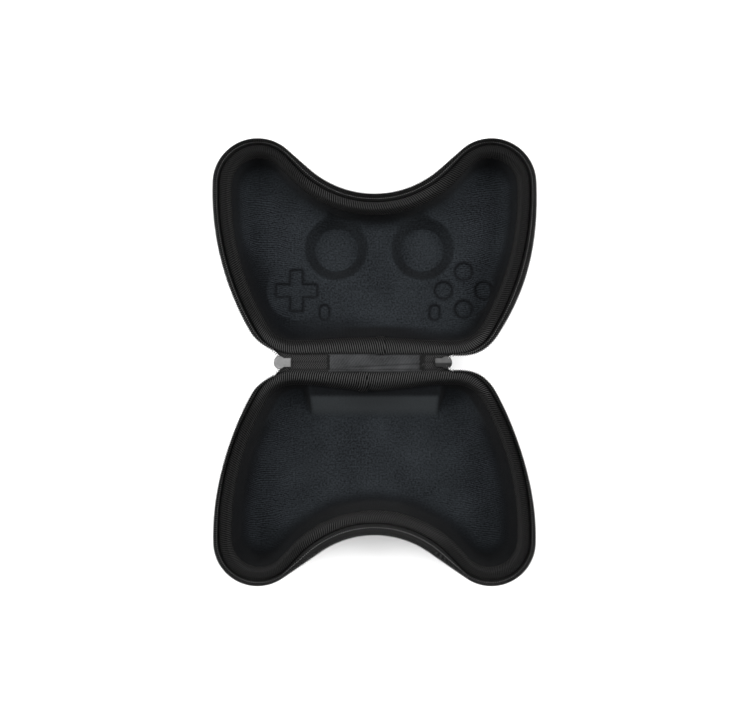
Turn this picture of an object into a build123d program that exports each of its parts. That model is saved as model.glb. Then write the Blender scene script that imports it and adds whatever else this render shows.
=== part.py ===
from build123d import *
import os
from math import acos, asin, atan2, cos, degrees, hypot, radians, sin, tan

# Zip-up moulded hard case in the outline of a game pad, lying wide open on its back.
# Millimetres. +X runs along the hinge, +Y points to the lid, +Z is up.
# The origin lies on the table below the middle of the hinge.
# Both halves open upwards, and the lid is folded over the base like a book's cover.

# Outline of the rim, measured from the middle of the hinge
HINGE_EDGE_Y = 6.3
CORNER_CENTRE_X = 46.7
CORNER_RADIUS = 24.2
SIDE_RADIUS = 157.0
HORN_CENTRE_X = 67.6
HORN_CENTRE_Y = 103.7
HORN_RADIUS = 22.1
FRONT_Y = 92.6
FRONT_TANGENT = 9.368

# The concave front's arc leaves that straight length between it and the horn's arc
FRONT_BELOW_HORN = HORN_CENTRE_Y - FRONT_Y
FRONT_RADIUS = (HORN_CENTRE_X**2 + FRONT_BELOW_HORN**2 - HORN_RADIUS**2 - FRONT_TANGENT**2) / (
    2 * (HORN_RADIUS + FRONT_BELOW_HORN)
)

# Moulded shells
RIM_HEIGHT = 32.8
WALL = 3.2
WALL_DRAFT = 12.0
FLOOR = 3.0
OUTER_EDGE_RADIUS = 12.0
INNER_EDGE_RADIUS = 9.0
RIM_EDGE_RADIUS = 1.2
LID_FLOOR_Z = 8.0
LINING = 0.6

# Ramp in the hinge side of the base, between the two deep front pockets
RAMP_HALF_WIDTH = 36.0
RAMP_TOP_BELOW_RIM = 12.0
RAMP_ANGLE = 45.0

# Shapes of the pad that are pressed into the lid's floor; they stand proud outside
RELIEF_CENTRE_X = 3.0
RELIEF_DEPTH = 1.0
RELIEF_SKIN = 1.0
BULGE_RADIUS = 18.0
BULGE_EDGE_RADIUS = 2.0
STICK_SPACING = 52.4
STICK_Y = 68.8
STICK_FLAT_RADIUS = 12.8
STICK_MOUTH_RADIUS = 19.0
STICK_EDGE_RADIUS = 1.0
STICK_SKIN = 1.9
STICK_RISE = 4.0
CROSS_X = -50.1
CROSS_Y = 43.6
CROSS_SPAN = 24.4
CROSS_ARM = 7.3
BUTTONS_X = 50.8
BUTTONS_Y = 43.7
BUTTON_RADIUS = 4.95
BUTTON_STEP_X = 12.1
BUTTON_STEP_Y = 11.4
OVAL_SPACING = 66.6
OVAL_Y = 30.4
OVAL_WIDTH = 5.5
OVAL_LENGTH = 8.6
TOUCH_WIDTH = 47.6
TOUCH_LENGTH = 22.0
TOUCH_Y = 34.0
TOUCH_CORNER_RADIUS = 3.0
TOUCH_LINE = 1.2
TOUCH_DEPTH = 0.35

# Binding that is folded over the rim
BINDING = 0.8
BINDING_OUTER_LEG = 5.0
BINDING_INNER_LEG = 9.0
BINDING_EDGE_RADIUS = 1.6
BINDING_SEAM = 0.2
LID_SEAM_X = 6.0
BASE_SEAM_X = -4.3

# Hinge: a strip that folds by 90 degrees along each of its two long edges
SPINE_WIDTH = 9.6
SPINE_CLOTH = 0.8
FOLD_BELOW_RIM = 0.6
CLOTH_LEFT_X = -26.8
CLOTH_RIGHT_X = 27.5
TACK_WIDTH = 1.4
TACK_HEIGHT = 0.4
TACK_SIDE_GAP = 0.6

# Zipper: one tape and one row of coil on each half, a closed piece at each end
TAPE = 0.8
TAPE_HEM_TOP = 1.5
TAPE_HEM_BOTTOM = 4.5
SIDE_FLARE = 3.0
FRONT_FLARE = 6.0
CLOSING_GAP = 0.4
COIL_WIDTH = 1.4
COIL_HEIGHT = 1.4
COIL_CHAMFER = 0.4
CLOSED_COIL_WIDTH = 3.0
ZIP_END_GAP = 0.6

# Sliders, one at each end of the hinge, seen from their back plates
LEFT_SLIDER_END_X = -58.4
RIGHT_SLIDER_END_X = 45.0
SLIDER_LENGTH = 10.1
SLIDER_HEAD_WIDTH = 7.9
SLIDER_HEAD_LENGTH = 7.0
SLIDER_TAIL_WIDTH = 5.7
SLIDER_PLATE = 1.0
SLIDER_CHAMFER = 0.35
SLIDER_PLAY = 0.3
SLIDER_POST_LENGTH = 2.6
SLIDER_POST_WIDTH = 1.8
SLIDER_POST_INSET = 1.2
SLIDER_FLANGE = 0.6
CHAIN_END_IN_SLIDER = 4.2

# Crown on the slider's front plate, and the pull that hangs in it
CROWN_LENGTH = 4.8
CROWN_WIDTH = 1.8
CROWN_EYE_RADIUS = 1.1
CROWN_WALL = 0.7
PULL_BAR_RADIUS = 0.8
PULL_ARM = 0.85
PULL_SIDE_GAP = 0.35
PULL_WIDTH = 5.6
PULL_LENGTH = 22.0
PULL_THICKNESS = 1.4
PULL_TIP_GAP = 0.6

# Levels and widths that follow from the values above
FOLD_Z = RIM_HEIGHT - FOLD_BELOW_RIM
CLOSING_Z = FOLD_Z + SPINE_WIDTH / 2
SHELL_TOP_Z = RIM_HEIGHT - BINDING
LINED_WALL = WALL + LINING
COIL_TOP_Z = CLOSING_Z - CLOSING_GAP
TAPE_TOP_Z = COIL_TOP_Z - COIL_HEIGHT
CLOTH_BOTTOM_Z = FOLD_Z - SPINE_CLOTH / 2
CLOTH_TOP_Z = FOLD_Z + SPINE_CLOTH / 2
CLOSED_COIL_BOTTOM_Z = CLOTH_BOTTOM_Z - COIL_HEIGHT
BACK_PLATE_Z = CLOTH_TOP_Z + SLIDER_PLAY
FRONT_PLATE_Z = CLOSED_COIL_BOTTOM_Z - SLIDER_PLAY - SLIDER_PLATE
PULL_AXIS_Z = FRONT_PLATE_Z - CROWN_EYE_RADIUS - SLIDER_PLAY / 2
LEFT_CHAIN_END_X = LEFT_SLIDER_END_X + CHAIN_END_IN_SLIDER
RIGHT_CHAIN_END_X = RIGHT_SLIDER_END_X - CHAIN_END_IN_SLIDER
LEFT_PULL_X = LEFT_SLIDER_END_X + SLIDER_LENGTH / 2
RIGHT_PULL_X = RIGHT_SLIDER_END_X - SLIDER_LENGTH / 2
OVERLAP = 1.0


def heading_point(centre, radius, heading):
    """Point of a circle where a path that runs round it anticlockwise has this heading."""
    return (centre[0] + radius * sin(heading), centre[1] - radius * cos(heading))


def pad_face(grow, front_grow=None):
    """Face inside the rim line moved outwards by grow, and by front_grow at the concave front.

    Each half of the outline is a chain of tangent arcs: hinge corner, side, horn and front.
    """
    front_grow = grow if front_grow is None else front_grow
    corner = (CORNER_CENTRE_X, HINGE_EDGE_Y + CORNER_RADIUS)
    horn = (HORN_CENTRE_X, HORN_CENTRE_Y)
    front = (0, FRONT_Y + FRONT_RADIUS)

    # The side arc's circle holds the corner's and the horn's circle, and touches both
    base_line = hypot(horn[0] - corner[0], horn[1] - corner[1])
    to_corner = SIDE_RADIUS - CORNER_RADIUS
    to_horn = SIDE_RADIUS - HORN_RADIUS
    cosine = (to_corner**2 + base_line**2 - to_horn**2) / (2 * to_corner * base_line)
    bearing = atan2(horn[1] - corner[1], horn[0] - corner[0]) + acos(cosine)
    side = (corner[0] + to_corner * cos(bearing), corner[1] + to_corner * sin(bearing))
    corner_end = atan2(corner[0] - side[0], side[1] - corner[1])
    side_end = atan2(horn[0] - side[0], side[1] - horn[1])

    # A short straight tangent crosses over from the horn's circle to the front's circle
    horn_radius = HORN_RADIUS + grow
    front_radius = FRONT_RADIUS - front_grow
    across = (front[0] - horn[0], front[1] - horn[1])
    horn_end = atan2(across[1], across[0]) + asin((horn_radius + front_radius) / hypot(*across))
    horn_end = horn_end % radians(360)

    with BuildSketch() as face:
        with BuildLine():
            hinge_end = (corner[0], HINGE_EDGE_Y - grow)
            Line((0, HINGE_EDGE_Y - grow), hinge_end)
            CenterArc(corner, CORNER_RADIUS + grow, -90, degrees(corner_end))
            CenterArc(side, SIDE_RADIUS + grow, degrees(corner_end) - 90, degrees(side_end - corner_end))
            CenterArc(horn, horn_radius, degrees(side_end) - 90, degrees(horn_end - side_end))
            front_start = heading_point(front, -front_radius, horn_end)
            Line(heading_point(horn, horn_radius, horn_end), front_start)
            front_end = (0, FRONT_Y + front_grow)
            front_middle = heading_point(front, -front_radius, (horn_end + radians(180)) / 2)
            ThreePointArc(front_start, front_middle, front_end)
            mirror(about=Plane.YZ)
        make_face()
    return face.sketch


def drafted_block(grow, low_z, high_z):
    """Solid between two levels inside the drafted wall face that lies grow outside the rim line."""
    with BuildPart() as block:
        for level in (low_z, high_z):
            draft_inset = (RIM_HEIGHT - level) * tan(radians(WALL_DRAFT))
            with BuildSketch(Plane.XY.offset(level)):
                add(pad_face(grow - draft_inset))
        loft(ruled=True)
    return block.part


def relief_face(grow):
    """Cross, round buttons and small ovals on the lid's floor, each grown by grow."""
    with BuildSketch() as face:
        with Locations((RELIEF_CENTRE_X + CROSS_X, CROSS_Y)):
            Rectangle(CROSS_SPAN + 2 * grow, CROSS_ARM + 2 * grow)
            Rectangle(CROSS_ARM + 2 * grow, CROSS_SPAN + 2 * grow)
        with Locations((RELIEF_CENTRE_X + BUTTONS_X, BUTTONS_Y)):
            with Locations((BUTTON_STEP_X, 0), (-BUTTON_STEP_X, 0), (0, BUTTON_STEP_Y), (0, -BUTTON_STEP_Y)):
                Circle(BUTTON_RADIUS + grow)
        with Locations((RELIEF_CENTRE_X, OVAL_Y)):
            with GridLocations(OVAL_SPACING, 0, 2, 1):
                SlotOverall(OVAL_LENGTH + 2 * grow, OVAL_WIDTH + 2 * grow, rotation=90)
    return face.sketch


def stick_cones(floor_z, flat_z, flat_radius, mouth_radius):
    """Two truncated cones from a flat disc at flat_z, through the mouth at floor_z, up the wall."""
    slope = (mouth_radius - flat_radius) / (floor_z - flat_z)
    height = floor_z - flat_z + STICK_RISE
    with BuildPart() as cones:
        with Locations((RELIEF_CENTRE_X, STICK_Y, flat_z)):
            with GridLocations(STICK_SPACING, 0, 2, 1):
                Cone(
                    flat_radius,
                    flat_radius + height * slope,
                    height,
                    align=(Align.CENTER, Align.CENTER, Align.MIN),
                )
        fillet(cones.faces().group_by(Axis.Z)[0].edges(), STICK_EDGE_RADIUS)
    return cones.part


def bulge_cones(floor_z, grow):
    """Round bulges of the floor under the cross and under the four buttons."""
    height = INNER_EDGE_RADIUS
    with BuildPart() as cones:
        with Locations(
            (RELIEF_CENTRE_X + CROSS_X, CROSS_Y, floor_z),
            (RELIEF_CENTRE_X + BUTTONS_X, BUTTONS_Y, floor_z),
        ):
            Cone(
                BULGE_RADIUS + grow,
                BULGE_RADIUS + grow + height * tan(radians(WALL_DRAFT)),
                height,
                align=(Align.CENTER, Align.CENTER, Align.MIN),
            )
        fillet(cones.faces().group_by(Axis.Z)[0].edges(), BULGE_EDGE_RADIUS)
    return cones.part


def lid_cavity(inset):
    """Inside of the lid, inset from the shell's bare inner face, with all the pressed shapes."""
    visible = LINING - inset
    floor_z = LID_FLOOR_Z + FLOOR + inset
    space = drafted_block(-WALL - inset, floor_z, RIM_HEIGHT + OVERLAP)
    cones = stick_cones(floor_z, FLOOR + inset, STICK_FLAT_RADIUS + visible, STICK_MOUTH_RADIUS + visible)
    bulges = bulge_cones(floor_z, visible)
    with BuildPart() as cavity:
        add(space)
        fillet(cavity.faces().sort_by(Axis.Z)[0].edges(), INNER_EDGE_RADIUS - inset)
        add(bulges)
        add(cones)
        with BuildSketch(Plane.XY.offset(floor_z)):
            add(relief_face(visible))
        extrude(amount=-RELIEF_DEPTH)
        with BuildSketch(Plane.XY.offset(floor_z)):
            with Locations((RELIEF_CENTRE_X, TOUCH_Y)):
                RectangleRounded(TOUCH_WIDTH, TOUCH_LENGTH, TOUCH_CORNER_RADIUS)
                RectangleRounded(
                    TOUCH_WIDTH - 2 * TOUCH_LINE,
                    TOUCH_LENGTH - 2 * TOUCH_LINE,
                    TOUCH_CORNER_RADIUS - TOUCH_LINE,
                    mode=Mode.SUBTRACT,
                )
        extrude(amount=-TOUCH_DEPTH)
    return cavity.part


def ramp_wedge(inset):
    """Wedge below the ramp's face, moved into the base by inset measured square to the face."""
    slope = tan(radians(RAMP_ANGLE))
    top_z = RIM_HEIGHT - RAMP_TOP_BELOW_RIM
    top_y = HINGE_EDGE_Y + RAMP_TOP_BELOW_RIM * tan(radians(WALL_DRAFT)) + inset / sin(radians(RAMP_ANGLE))
    reach = top_z + OVERLAP
    with BuildPart() as wedge:
        with BuildSketch(Plane.YZ.offset(-RAMP_HALF_WIDTH - inset)):
            with BuildLine():
                Polyline(
                    (top_y + reach / slope, top_z - reach),
                    (top_y - reach / slope, top_z + reach),
                    (top_y - reach / slope, top_z - reach),
                    close=True,
                )
            make_face()
        extrude(amount=2 * (RAMP_HALF_WIDTH + inset))
    return wedge.part


def base_cavity(inset):
    """Inside of the base, inset from the shell's bare inner face."""
    space = drafted_block(-WALL - inset, FLOOR + inset, RIM_HEIGHT + OVERLAP)
    wedge = ramp_wedge(WALL + inset)
    with BuildPart() as cavity:
        add(space)
        fillet(cavity.faces().sort_by(Axis.Z)[0].edges(), INNER_EDGE_RADIUS - inset)
        add(wedge, mode=Mode.SUBTRACT)
    return cavity.part


def hinge_zone(left_x, right_x):
    """Block round the hinge between two places along it, where the zipper's halves stop."""
    with BuildPart() as zone:
        with Locations(((left_x + right_x) / 2, 0, RIM_HEIGHT)):
            Box(right_x - left_x, 2 * CORNER_RADIUS, RIM_HEIGHT)
    return zone.part


# Shell of the lid: the pressed shapes stand proud on its outside, and it lies on the two sticks
lid_block = drafted_block(0, LID_FLOOR_Z, SHELL_TOP_Z)
lid_bumps = stick_cones(LID_FLOOR_Z, 0, STICK_FLAT_RADIUS + STICK_SKIN, STICK_MOUTH_RADIUS + WALL)
lid_bulges = bulge_cones(LID_FLOOR_Z, WALL)
lid_space = lid_cavity(0)
with BuildPart() as lid_shell:
    add(lid_block)
    fillet(lid_shell.faces().sort_by(Axis.Z)[0].edges(), OUTER_EDGE_RADIUS)
    fillet(lid_shell.faces().sort_by(Axis.Z)[-1].edges(), RIM_EDGE_RADIUS)
    add(lid_bulges)
    add(lid_bumps)
    with BuildSketch(Plane.XY.offset(LID_FLOOR_Z - RELIEF_DEPTH)):
        add(relief_face(RELIEF_SKIN))
    extrude(amount=RELIEF_DEPTH + WALL)
    add(lid_space, mode=Mode.SUBTRACT)

# Shell of the base, with a flat bottom
base_block = drafted_block(0, 0, SHELL_TOP_Z)
base_ramp = ramp_wedge(0)
base_space = base_cavity(0)
with BuildPart() as base_form:
    add(base_block)
    fillet(base_form.faces().sort_by(Axis.Z)[0].edges(), OUTER_EDGE_RADIUS)
    fillet(base_form.faces().sort_by(Axis.Z)[-1].edges(), RIM_EDGE_RADIUS)
    add(base_ramp, mode=Mode.SUBTRACT)
    add(base_space, mode=Mode.SUBTRACT)
with BuildPart() as base_shell:
    mirror(base_form.part, about=Plane.XZ)

# Knitted linings, glued to the inside of the shells up to their upper edges
lid_lined_space = lid_cavity(LINING)
with BuildPart() as lid_lining:
    add(lid_space)
    add(lid_lined_space, mode=Mode.SUBTRACT)
    split(bisect_by=Plane.XY.offset(SHELL_TOP_Z), keep=Keep.BOTTOM)

base_lined_space = base_cavity(LINING)
with BuildPart() as base_lining_form:
    add(base_space)
    add(base_lined_space, mode=Mode.SUBTRACT)
    split(bisect_by=Plane.XY.offset(SHELL_TOP_Z), keep=Keep.BOTTOM)
with BuildPart() as base_lining:
    mirror(base_lining_form.part, about=Plane.XZ)

# Binding: one folded strip over the rim's edge, its two ends meeting at the hinge
binding_outside = drafted_block(BINDING, RIM_HEIGHT - BINDING_OUTER_LEG, RIM_HEIGHT)
binding_inside = drafted_block(-LINED_WALL, RIM_HEIGHT - BINDING_INNER_LEG, SHELL_TOP_Z)
binding_hollow = drafted_block(-LINED_WALL - BINDING, 0, RIM_HEIGHT + OVERLAP)
with BuildPart() as shell_rim:
    add(drafted_block(0, 0, SHELL_TOP_Z))
    fillet(shell_rim.faces().sort_by(Axis.Z)[-1].edges(), RIM_EDGE_RADIUS)
with BuildPart() as binding_ring:
    add(binding_outside)
    fillet(binding_ring.faces().sort_by(Axis.Z)[-1].edges(), BINDING_EDGE_RADIUS)
    add(shell_rim.part, mode=Mode.SUBTRACT)
    add(binding_inside)
    add(binding_hollow, mode=Mode.SUBTRACT)
    inner_crest = binding_ring.faces().sort_by(Axis.Z)[-1].inner_wires()[0]
    fillet(inner_crest.edges(), BINDING_EDGE_RADIUS)

with BuildPart() as lid_binding:
    add(binding_ring.part)
    with Locations((LID_SEAM_X, HINGE_EDGE_Y, RIM_HEIGHT)):
        Box(BINDING_SEAM, 2 * CORNER_RADIUS, 2 * RIM_HEIGHT, mode=Mode.SUBTRACT)

with BuildPart() as base_binding_form:
    add(binding_ring.part)
    with Locations((BASE_SEAM_X, HINGE_EDGE_Y, RIM_HEIGHT)):
        Box(BINDING_SEAM, 2 * CORNER_RADIUS, 2 * RIM_HEIGHT, mode=Mode.SUBTRACT)
with BuildPart() as base_binding:
    mirror(base_binding_form.part, about=Plane.XZ)

# Zipper tape of one half: a hem on the binding, and a strip that leans out to the coil
zip_cut = hinge_zone(LEFT_SLIDER_END_X - ZIP_END_GAP, RIGHT_SLIDER_END_X + ZIP_END_GAP)
hem_outside = drafted_block(BINDING + TAPE, RIM_HEIGHT - TAPE_HEM_BOTTOM, RIM_HEIGHT - TAPE_HEM_TOP)
hem_inside = drafted_block(BINDING, RIM_HEIGHT - TAPE_HEM_BOTTOM, RIM_HEIGHT - TAPE_HEM_TOP)
hem_top_inset = TAPE_HEM_TOP * tan(radians(WALL_DRAFT))


def leaning_block(thickness):
    """Solid inside the leaning strip's face, from the hem's top out to the zip line."""
    with BuildPart() as block:
        with BuildSketch(Plane.XY.offset(RIM_HEIGHT - TAPE_HEM_TOP)):
            add(pad_face(BINDING + thickness - hem_top_inset))
        with BuildSketch(Plane.XY.offset(TAPE_TOP_Z)):
            flare = thickness - (COIL_WIDTH + TAPE) / 2
            add(pad_face(SIDE_FLARE + flare, FRONT_FLARE + flare))
        loft(ruled=True)
    return block.part


leaning_outside = leaning_block(TAPE)
leaning_inside = leaning_block(0)
with BuildPart() as lid_zipper_tape:
    add(hem_outside)
    add(leaning_outside)
    add(hem_inside, mode=Mode.SUBTRACT)
    add(leaning_inside, mode=Mode.SUBTRACT)
    add(zip_cut, mode=Mode.SUBTRACT)
with BuildPart() as base_zipper_tape:
    mirror(lid_zipper_tape.part, about=Plane.XZ)

# Row of coil along the tape's upper edge; its outermost line is the case's widest outline
with BuildPart() as lid_coil:
    with BuildSketch(Plane.XY.offset(COIL_TOP_Z - COIL_HEIGHT)):
        add(pad_face(SIDE_FLARE, FRONT_FLARE))
        add(pad_face(SIDE_FLARE - COIL_WIDTH, FRONT_FLARE - COIL_WIDTH), mode=Mode.SUBTRACT)
    extrude(amount=COIL_HEIGHT)
    chamfer(lid_coil.faces().filter_by(Axis.Z).edges(), COIL_CHAMFER)
    add(zip_cut, mode=Mode.SUBTRACT)
with BuildPart() as base_coil:
    mirror(lid_coil.part, about=Plane.XZ)


def spine_strip(left_x, right_x):
    """Strip of the hinge whose long edges are round about the two fold lines."""
    with BuildPart() as strip:
        with BuildSketch(Plane.YZ.offset(left_x)):
            with Locations((0, FOLD_Z)):
                SlotCenterToCenter(SPINE_WIDTH, SPINE_CLOTH)
        extrude(amount=right_x - left_x)
    return strip.part


def closed_row(left_x, right_x):
    """Closed double row of coil on the outer side of a closed piece of tape."""
    with BuildPart() as row:
        with BuildSketch(Plane.YZ.offset(left_x)):
            with Locations((0, CLOTH_BOTTOM_Z - COIL_HEIGHT / 2)):
                RectangleRounded(CLOSED_COIL_WIDTH, COIL_HEIGHT, COIL_CHAMFER)
        extrude(amount=right_x - left_x)
    return row.part


def bar_tack(centre_x):
    """Raised bar of thread across the hinge, over the joint of cloth and tape."""
    with BuildPart() as tack:
        with BuildSketch(Plane.XY.offset(CLOTH_TOP_Z)):
            with Locations((centre_x, 0)):
                SlotOverall(SPINE_WIDTH - 2 * TACK_SIDE_GAP, TACK_WIDTH, rotation=90)
        extrude(amount=TACK_HEIGHT)
        fillet(tack.faces().sort_by(Axis.Z)[-1].edges(), TACK_HEIGHT / 2)
    return tack.part


# Spine: twill cloth in the middle, a closed piece of zipper at each end, tacked together
with BuildPart() as hinge_cloth:
    add(spine_strip(CLOTH_LEFT_X, CLOTH_RIGHT_X))
with BuildPart() as closed_tape_left:
    add(spine_strip(LEFT_CHAIN_END_X, CLOTH_LEFT_X))
with BuildPart() as closed_tape_right:
    add(spine_strip(CLOTH_RIGHT_X, RIGHT_CHAIN_END_X))
with BuildPart() as closed_coil_left:
    add(closed_row(LEFT_CHAIN_END_X, CLOTH_LEFT_X))
with BuildPart() as closed_coil_right:
    add(closed_row(CLOTH_RIGHT_X, RIGHT_CHAIN_END_X))
with BuildPart() as tack_left:
    add(bar_tack(CLOTH_LEFT_X))
with BuildPart() as tack_right:
    add(bar_tack(CLOTH_RIGHT_X))

# Slider at the left end, pointing outwards: two plates, a post, two flanges and a crown
head_centre_x = LEFT_SLIDER_END_X + SLIDER_HEAD_LENGTH / 2
tail_end_x = LEFT_SLIDER_END_X + SLIDER_LENGTH
with BuildSketch() as slider_outline:
    with Locations((head_centre_x, 0)):
        Ellipse(SLIDER_HEAD_LENGTH / 2, SLIDER_HEAD_WIDTH / 2)
    with Locations((tail_end_x, 0)):
        Rectangle(tail_end_x - head_centre_x, SLIDER_TAIL_WIDTH, align=(Align.MAX, Align.CENTER))

with BuildPart() as slider_plate:
    with BuildSketch(Plane.XY.offset(BACK_PLATE_Z)):
        add(slider_outline.sketch)
    extrude(amount=SLIDER_PLATE)
    chamfer(slider_plate.faces().sort_by(Axis.Z)[-1].edges(), SLIDER_CHAMFER)

with BuildPart() as slider_left:
    add(slider_plate.part)
    mirror(slider_plate.part, about=Plane.XY.offset((BACK_PLATE_Z + SLIDER_PLATE + FRONT_PLATE_Z) / 2))
    with BuildSketch(Plane.XY.offset(FRONT_PLATE_Z + SLIDER_PLATE)):
        with Locations((LEFT_SLIDER_END_X + SLIDER_POST_INSET, 0)):
            Rectangle(SLIDER_POST_LENGTH, SLIDER_POST_WIDTH, align=(Align.MIN, Align.CENTER))
    extrude(amount=BACK_PLATE_Z - FRONT_PLATE_Z - SLIDER_PLATE)
    flange_y = (SLIDER_TAIL_WIDTH - SLIDER_FLANGE) / 2
    flange_length = tail_end_x - head_centre_x
    lower_flange = CLOTH_BOTTOM_Z - SLIDER_PLAY - FRONT_PLATE_Z - SLIDER_PLATE
    with BuildSketch(Plane.XY.offset(FRONT_PLATE_Z + SLIDER_PLATE)):
        with Locations((tail_end_x, flange_y), (tail_end_x, -flange_y)):
            Rectangle(flange_length, SLIDER_FLANGE, align=(Align.MAX, Align.CENTER))
    extrude(amount=lower_flange)
    with BuildSketch(Plane.XZ.offset(-CROWN_WIDTH / 2)):
        with Locations((LEFT_PULL_X, FRONT_PLATE_Z)):
            Rectangle(CROWN_LENGTH, FRONT_PLATE_Z - PULL_AXIS_Z, align=(Align.CENTER, Align.MAX))
        with Locations((LEFT_PULL_X, PULL_AXIS_Z)):
            Ellipse(CROWN_LENGTH / 2, CROWN_EYE_RADIUS + CROWN_WALL)
            Circle(CROWN_EYE_RADIUS, mode=Mode.SUBTRACT)
    extrude(amount=CROWN_WIDTH)

# Slider at the right end: the same casting, turned to point the other way
with BuildPart() as slider_right:
    with Locations((LEFT_SLIDER_END_X + RIGHT_SLIDER_END_X, 0, 0)):
        add(slider_left.part.mirror(Plane.YZ))

# Pull that hangs from the crown: a round bar in the eye, two arms and a flat tab
with BuildPart() as pull_left:
    arm_y = CROWN_WIDTH / 2 + PULL_SIDE_GAP
    bar_length = 2 * (arm_y + PULL_ARM)
    tab_top = CROWN_LENGTH / 2 + PULL_TIP_GAP
    with BuildSketch(Plane.XZ.offset(-bar_length / 2)):
        with Locations((LEFT_PULL_X, PULL_AXIS_Z)):
            Circle(PULL_BAR_RADIUS)
    extrude(amount=bar_length)
    for side in (-1, 1):
        with BuildSketch(Plane.XZ.offset(side * (arm_y + PULL_ARM / 2) - PULL_ARM / 2)):
            with Locations((LEFT_PULL_X, PULL_AXIS_Z)):
                Circle(PULL_BAR_RADIUS)
                Rectangle(PULL_THICKNESS, tab_top + OVERLAP, align=(Align.CENTER, Align.MAX))
        extrude(amount=PULL_ARM)
    with BuildSketch(Plane.YZ.offset(LEFT_PULL_X - PULL_THICKNESS / 2)):
        with Locations((0, PULL_AXIS_Z - tab_top)):
            Rectangle(
                PULL_WIDTH,
                PULL_LENGTH - tab_top - PULL_WIDTH / 2,
                align=(Align.CENTER, Align.MAX),
            )
        with Locations((0, PULL_AXIS_Z - PULL_LENGTH + PULL_WIDTH / 2)):
            Circle(PULL_WIDTH / 2)
    extrude(amount=PULL_THICKNESS)

with BuildPart() as pull_right:
    with Locations((RIGHT_PULL_X - LEFT_PULL_X, 0, 0)):
        add(pull_left.part)

pieces = {
    "base_shell": base_shell,
    "base_lining": base_lining,
    "base_binding": base_binding,
    "base_zipper_tape": base_zipper_tape,
    "base_coil": base_coil,
    "lid_shell": lid_shell,
    "lid_lining": lid_lining,
    "lid_binding": lid_binding,
    "lid_zipper_tape": lid_zipper_tape,
    "lid_coil": lid_coil,
    "hinge_cloth": hinge_cloth,
    "closed_tape_left": closed_tape_left,
    "closed_tape_right": closed_tape_right,
    "closed_coil_left": closed_coil_left,
    "closed_coil_right": closed_coil_right,
    "tack_left": tack_left,
    "tack_right": tack_right,
    "slider_left": slider_left,
    "slider_right": slider_right,
    "pull_left": pull_left,
    "pull_right": pull_right,
}
os.makedirs("parts", exist_ok=True)
for name, piece in pieces.items():
    piece.part.label = name
    export_step(piece.part, f"parts/{name}.step")
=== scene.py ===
import math

import bpy
import numpy as np
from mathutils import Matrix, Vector, geometry


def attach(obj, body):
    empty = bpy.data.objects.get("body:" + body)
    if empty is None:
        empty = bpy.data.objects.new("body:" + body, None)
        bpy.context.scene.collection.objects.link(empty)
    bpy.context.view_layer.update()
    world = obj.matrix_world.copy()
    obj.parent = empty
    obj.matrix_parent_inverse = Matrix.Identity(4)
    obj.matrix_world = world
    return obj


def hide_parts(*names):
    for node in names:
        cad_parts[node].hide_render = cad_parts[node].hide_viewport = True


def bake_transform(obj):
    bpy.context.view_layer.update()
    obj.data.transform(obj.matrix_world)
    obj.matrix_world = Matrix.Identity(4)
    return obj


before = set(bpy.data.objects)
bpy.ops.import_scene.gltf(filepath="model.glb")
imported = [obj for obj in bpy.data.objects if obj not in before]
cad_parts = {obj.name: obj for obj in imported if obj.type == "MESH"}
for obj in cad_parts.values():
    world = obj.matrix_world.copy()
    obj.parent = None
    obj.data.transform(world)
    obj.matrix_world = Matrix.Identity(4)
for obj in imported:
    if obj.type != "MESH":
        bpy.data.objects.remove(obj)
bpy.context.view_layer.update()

# A zip-up moulded case in the outline of a game pad, lying wide open on its back.
# Meshes are worked out in millimetres in the CAD frame: +X along the hinge, +Y to the lid.

# ---------------------------------------------------------------- sizes of the case
MM = 0.001
UP = np.array([0, 0, 1.0])
HINGE_EDGE_Y = 6.3
CORNER_CENTRE_X, CORNER_RADIUS = 46.7, 24.2
SIDE_RADIUS = 157.0
HORN_CENTRE, HORN_RADIUS = (67.6, 103.7), 22.1
FRONT_Y, FRONT_RADIUS = 92.6, 62.0
RIM_Z = 32.8
DRAFT = math.tan(math.radians(12.0))
LINED_WALL = 3.8
LID_FLOOR_Z, BASE_FLOOR_Z = 11.6, 3.6
FLOOR_EDGE_RADIUS = 8.4
FOLD_Y, FOLD_Z = 4.8, 32.2
LEFT_SLIDER_X, RIGHT_SLIDER_X = -58.4, 45.0
CLOTH_LEFT_X, CLOTH_RIGHT_X = -26.8, 27.5
LEFT_CHAIN_X, RIGHT_CHAIN_X = -54.2, 40.8
LID_SEAM_X, BASE_SEAM_X = 6.0, -4.3
TOOTH_PITCH, STITCH_PITCH, TACK_PITCH = 1.25, 3.3, 0.36
RIB_PITCH, RIB_HEIGHT, RIB_SLANT = 1.3, 0.2, 0.35
TAPE_THICKNESS, STRIP_THICKNESS, LINING_THICKNESS = 0.45, 0.4, 0.35
# Camera, straight above the middle of the hinge; only its height is in metres
CAMERA_HEIGHT, CAMERA_LENS, CAMERA_SHIFT = 0.545, 43.4, -0.0116


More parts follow.
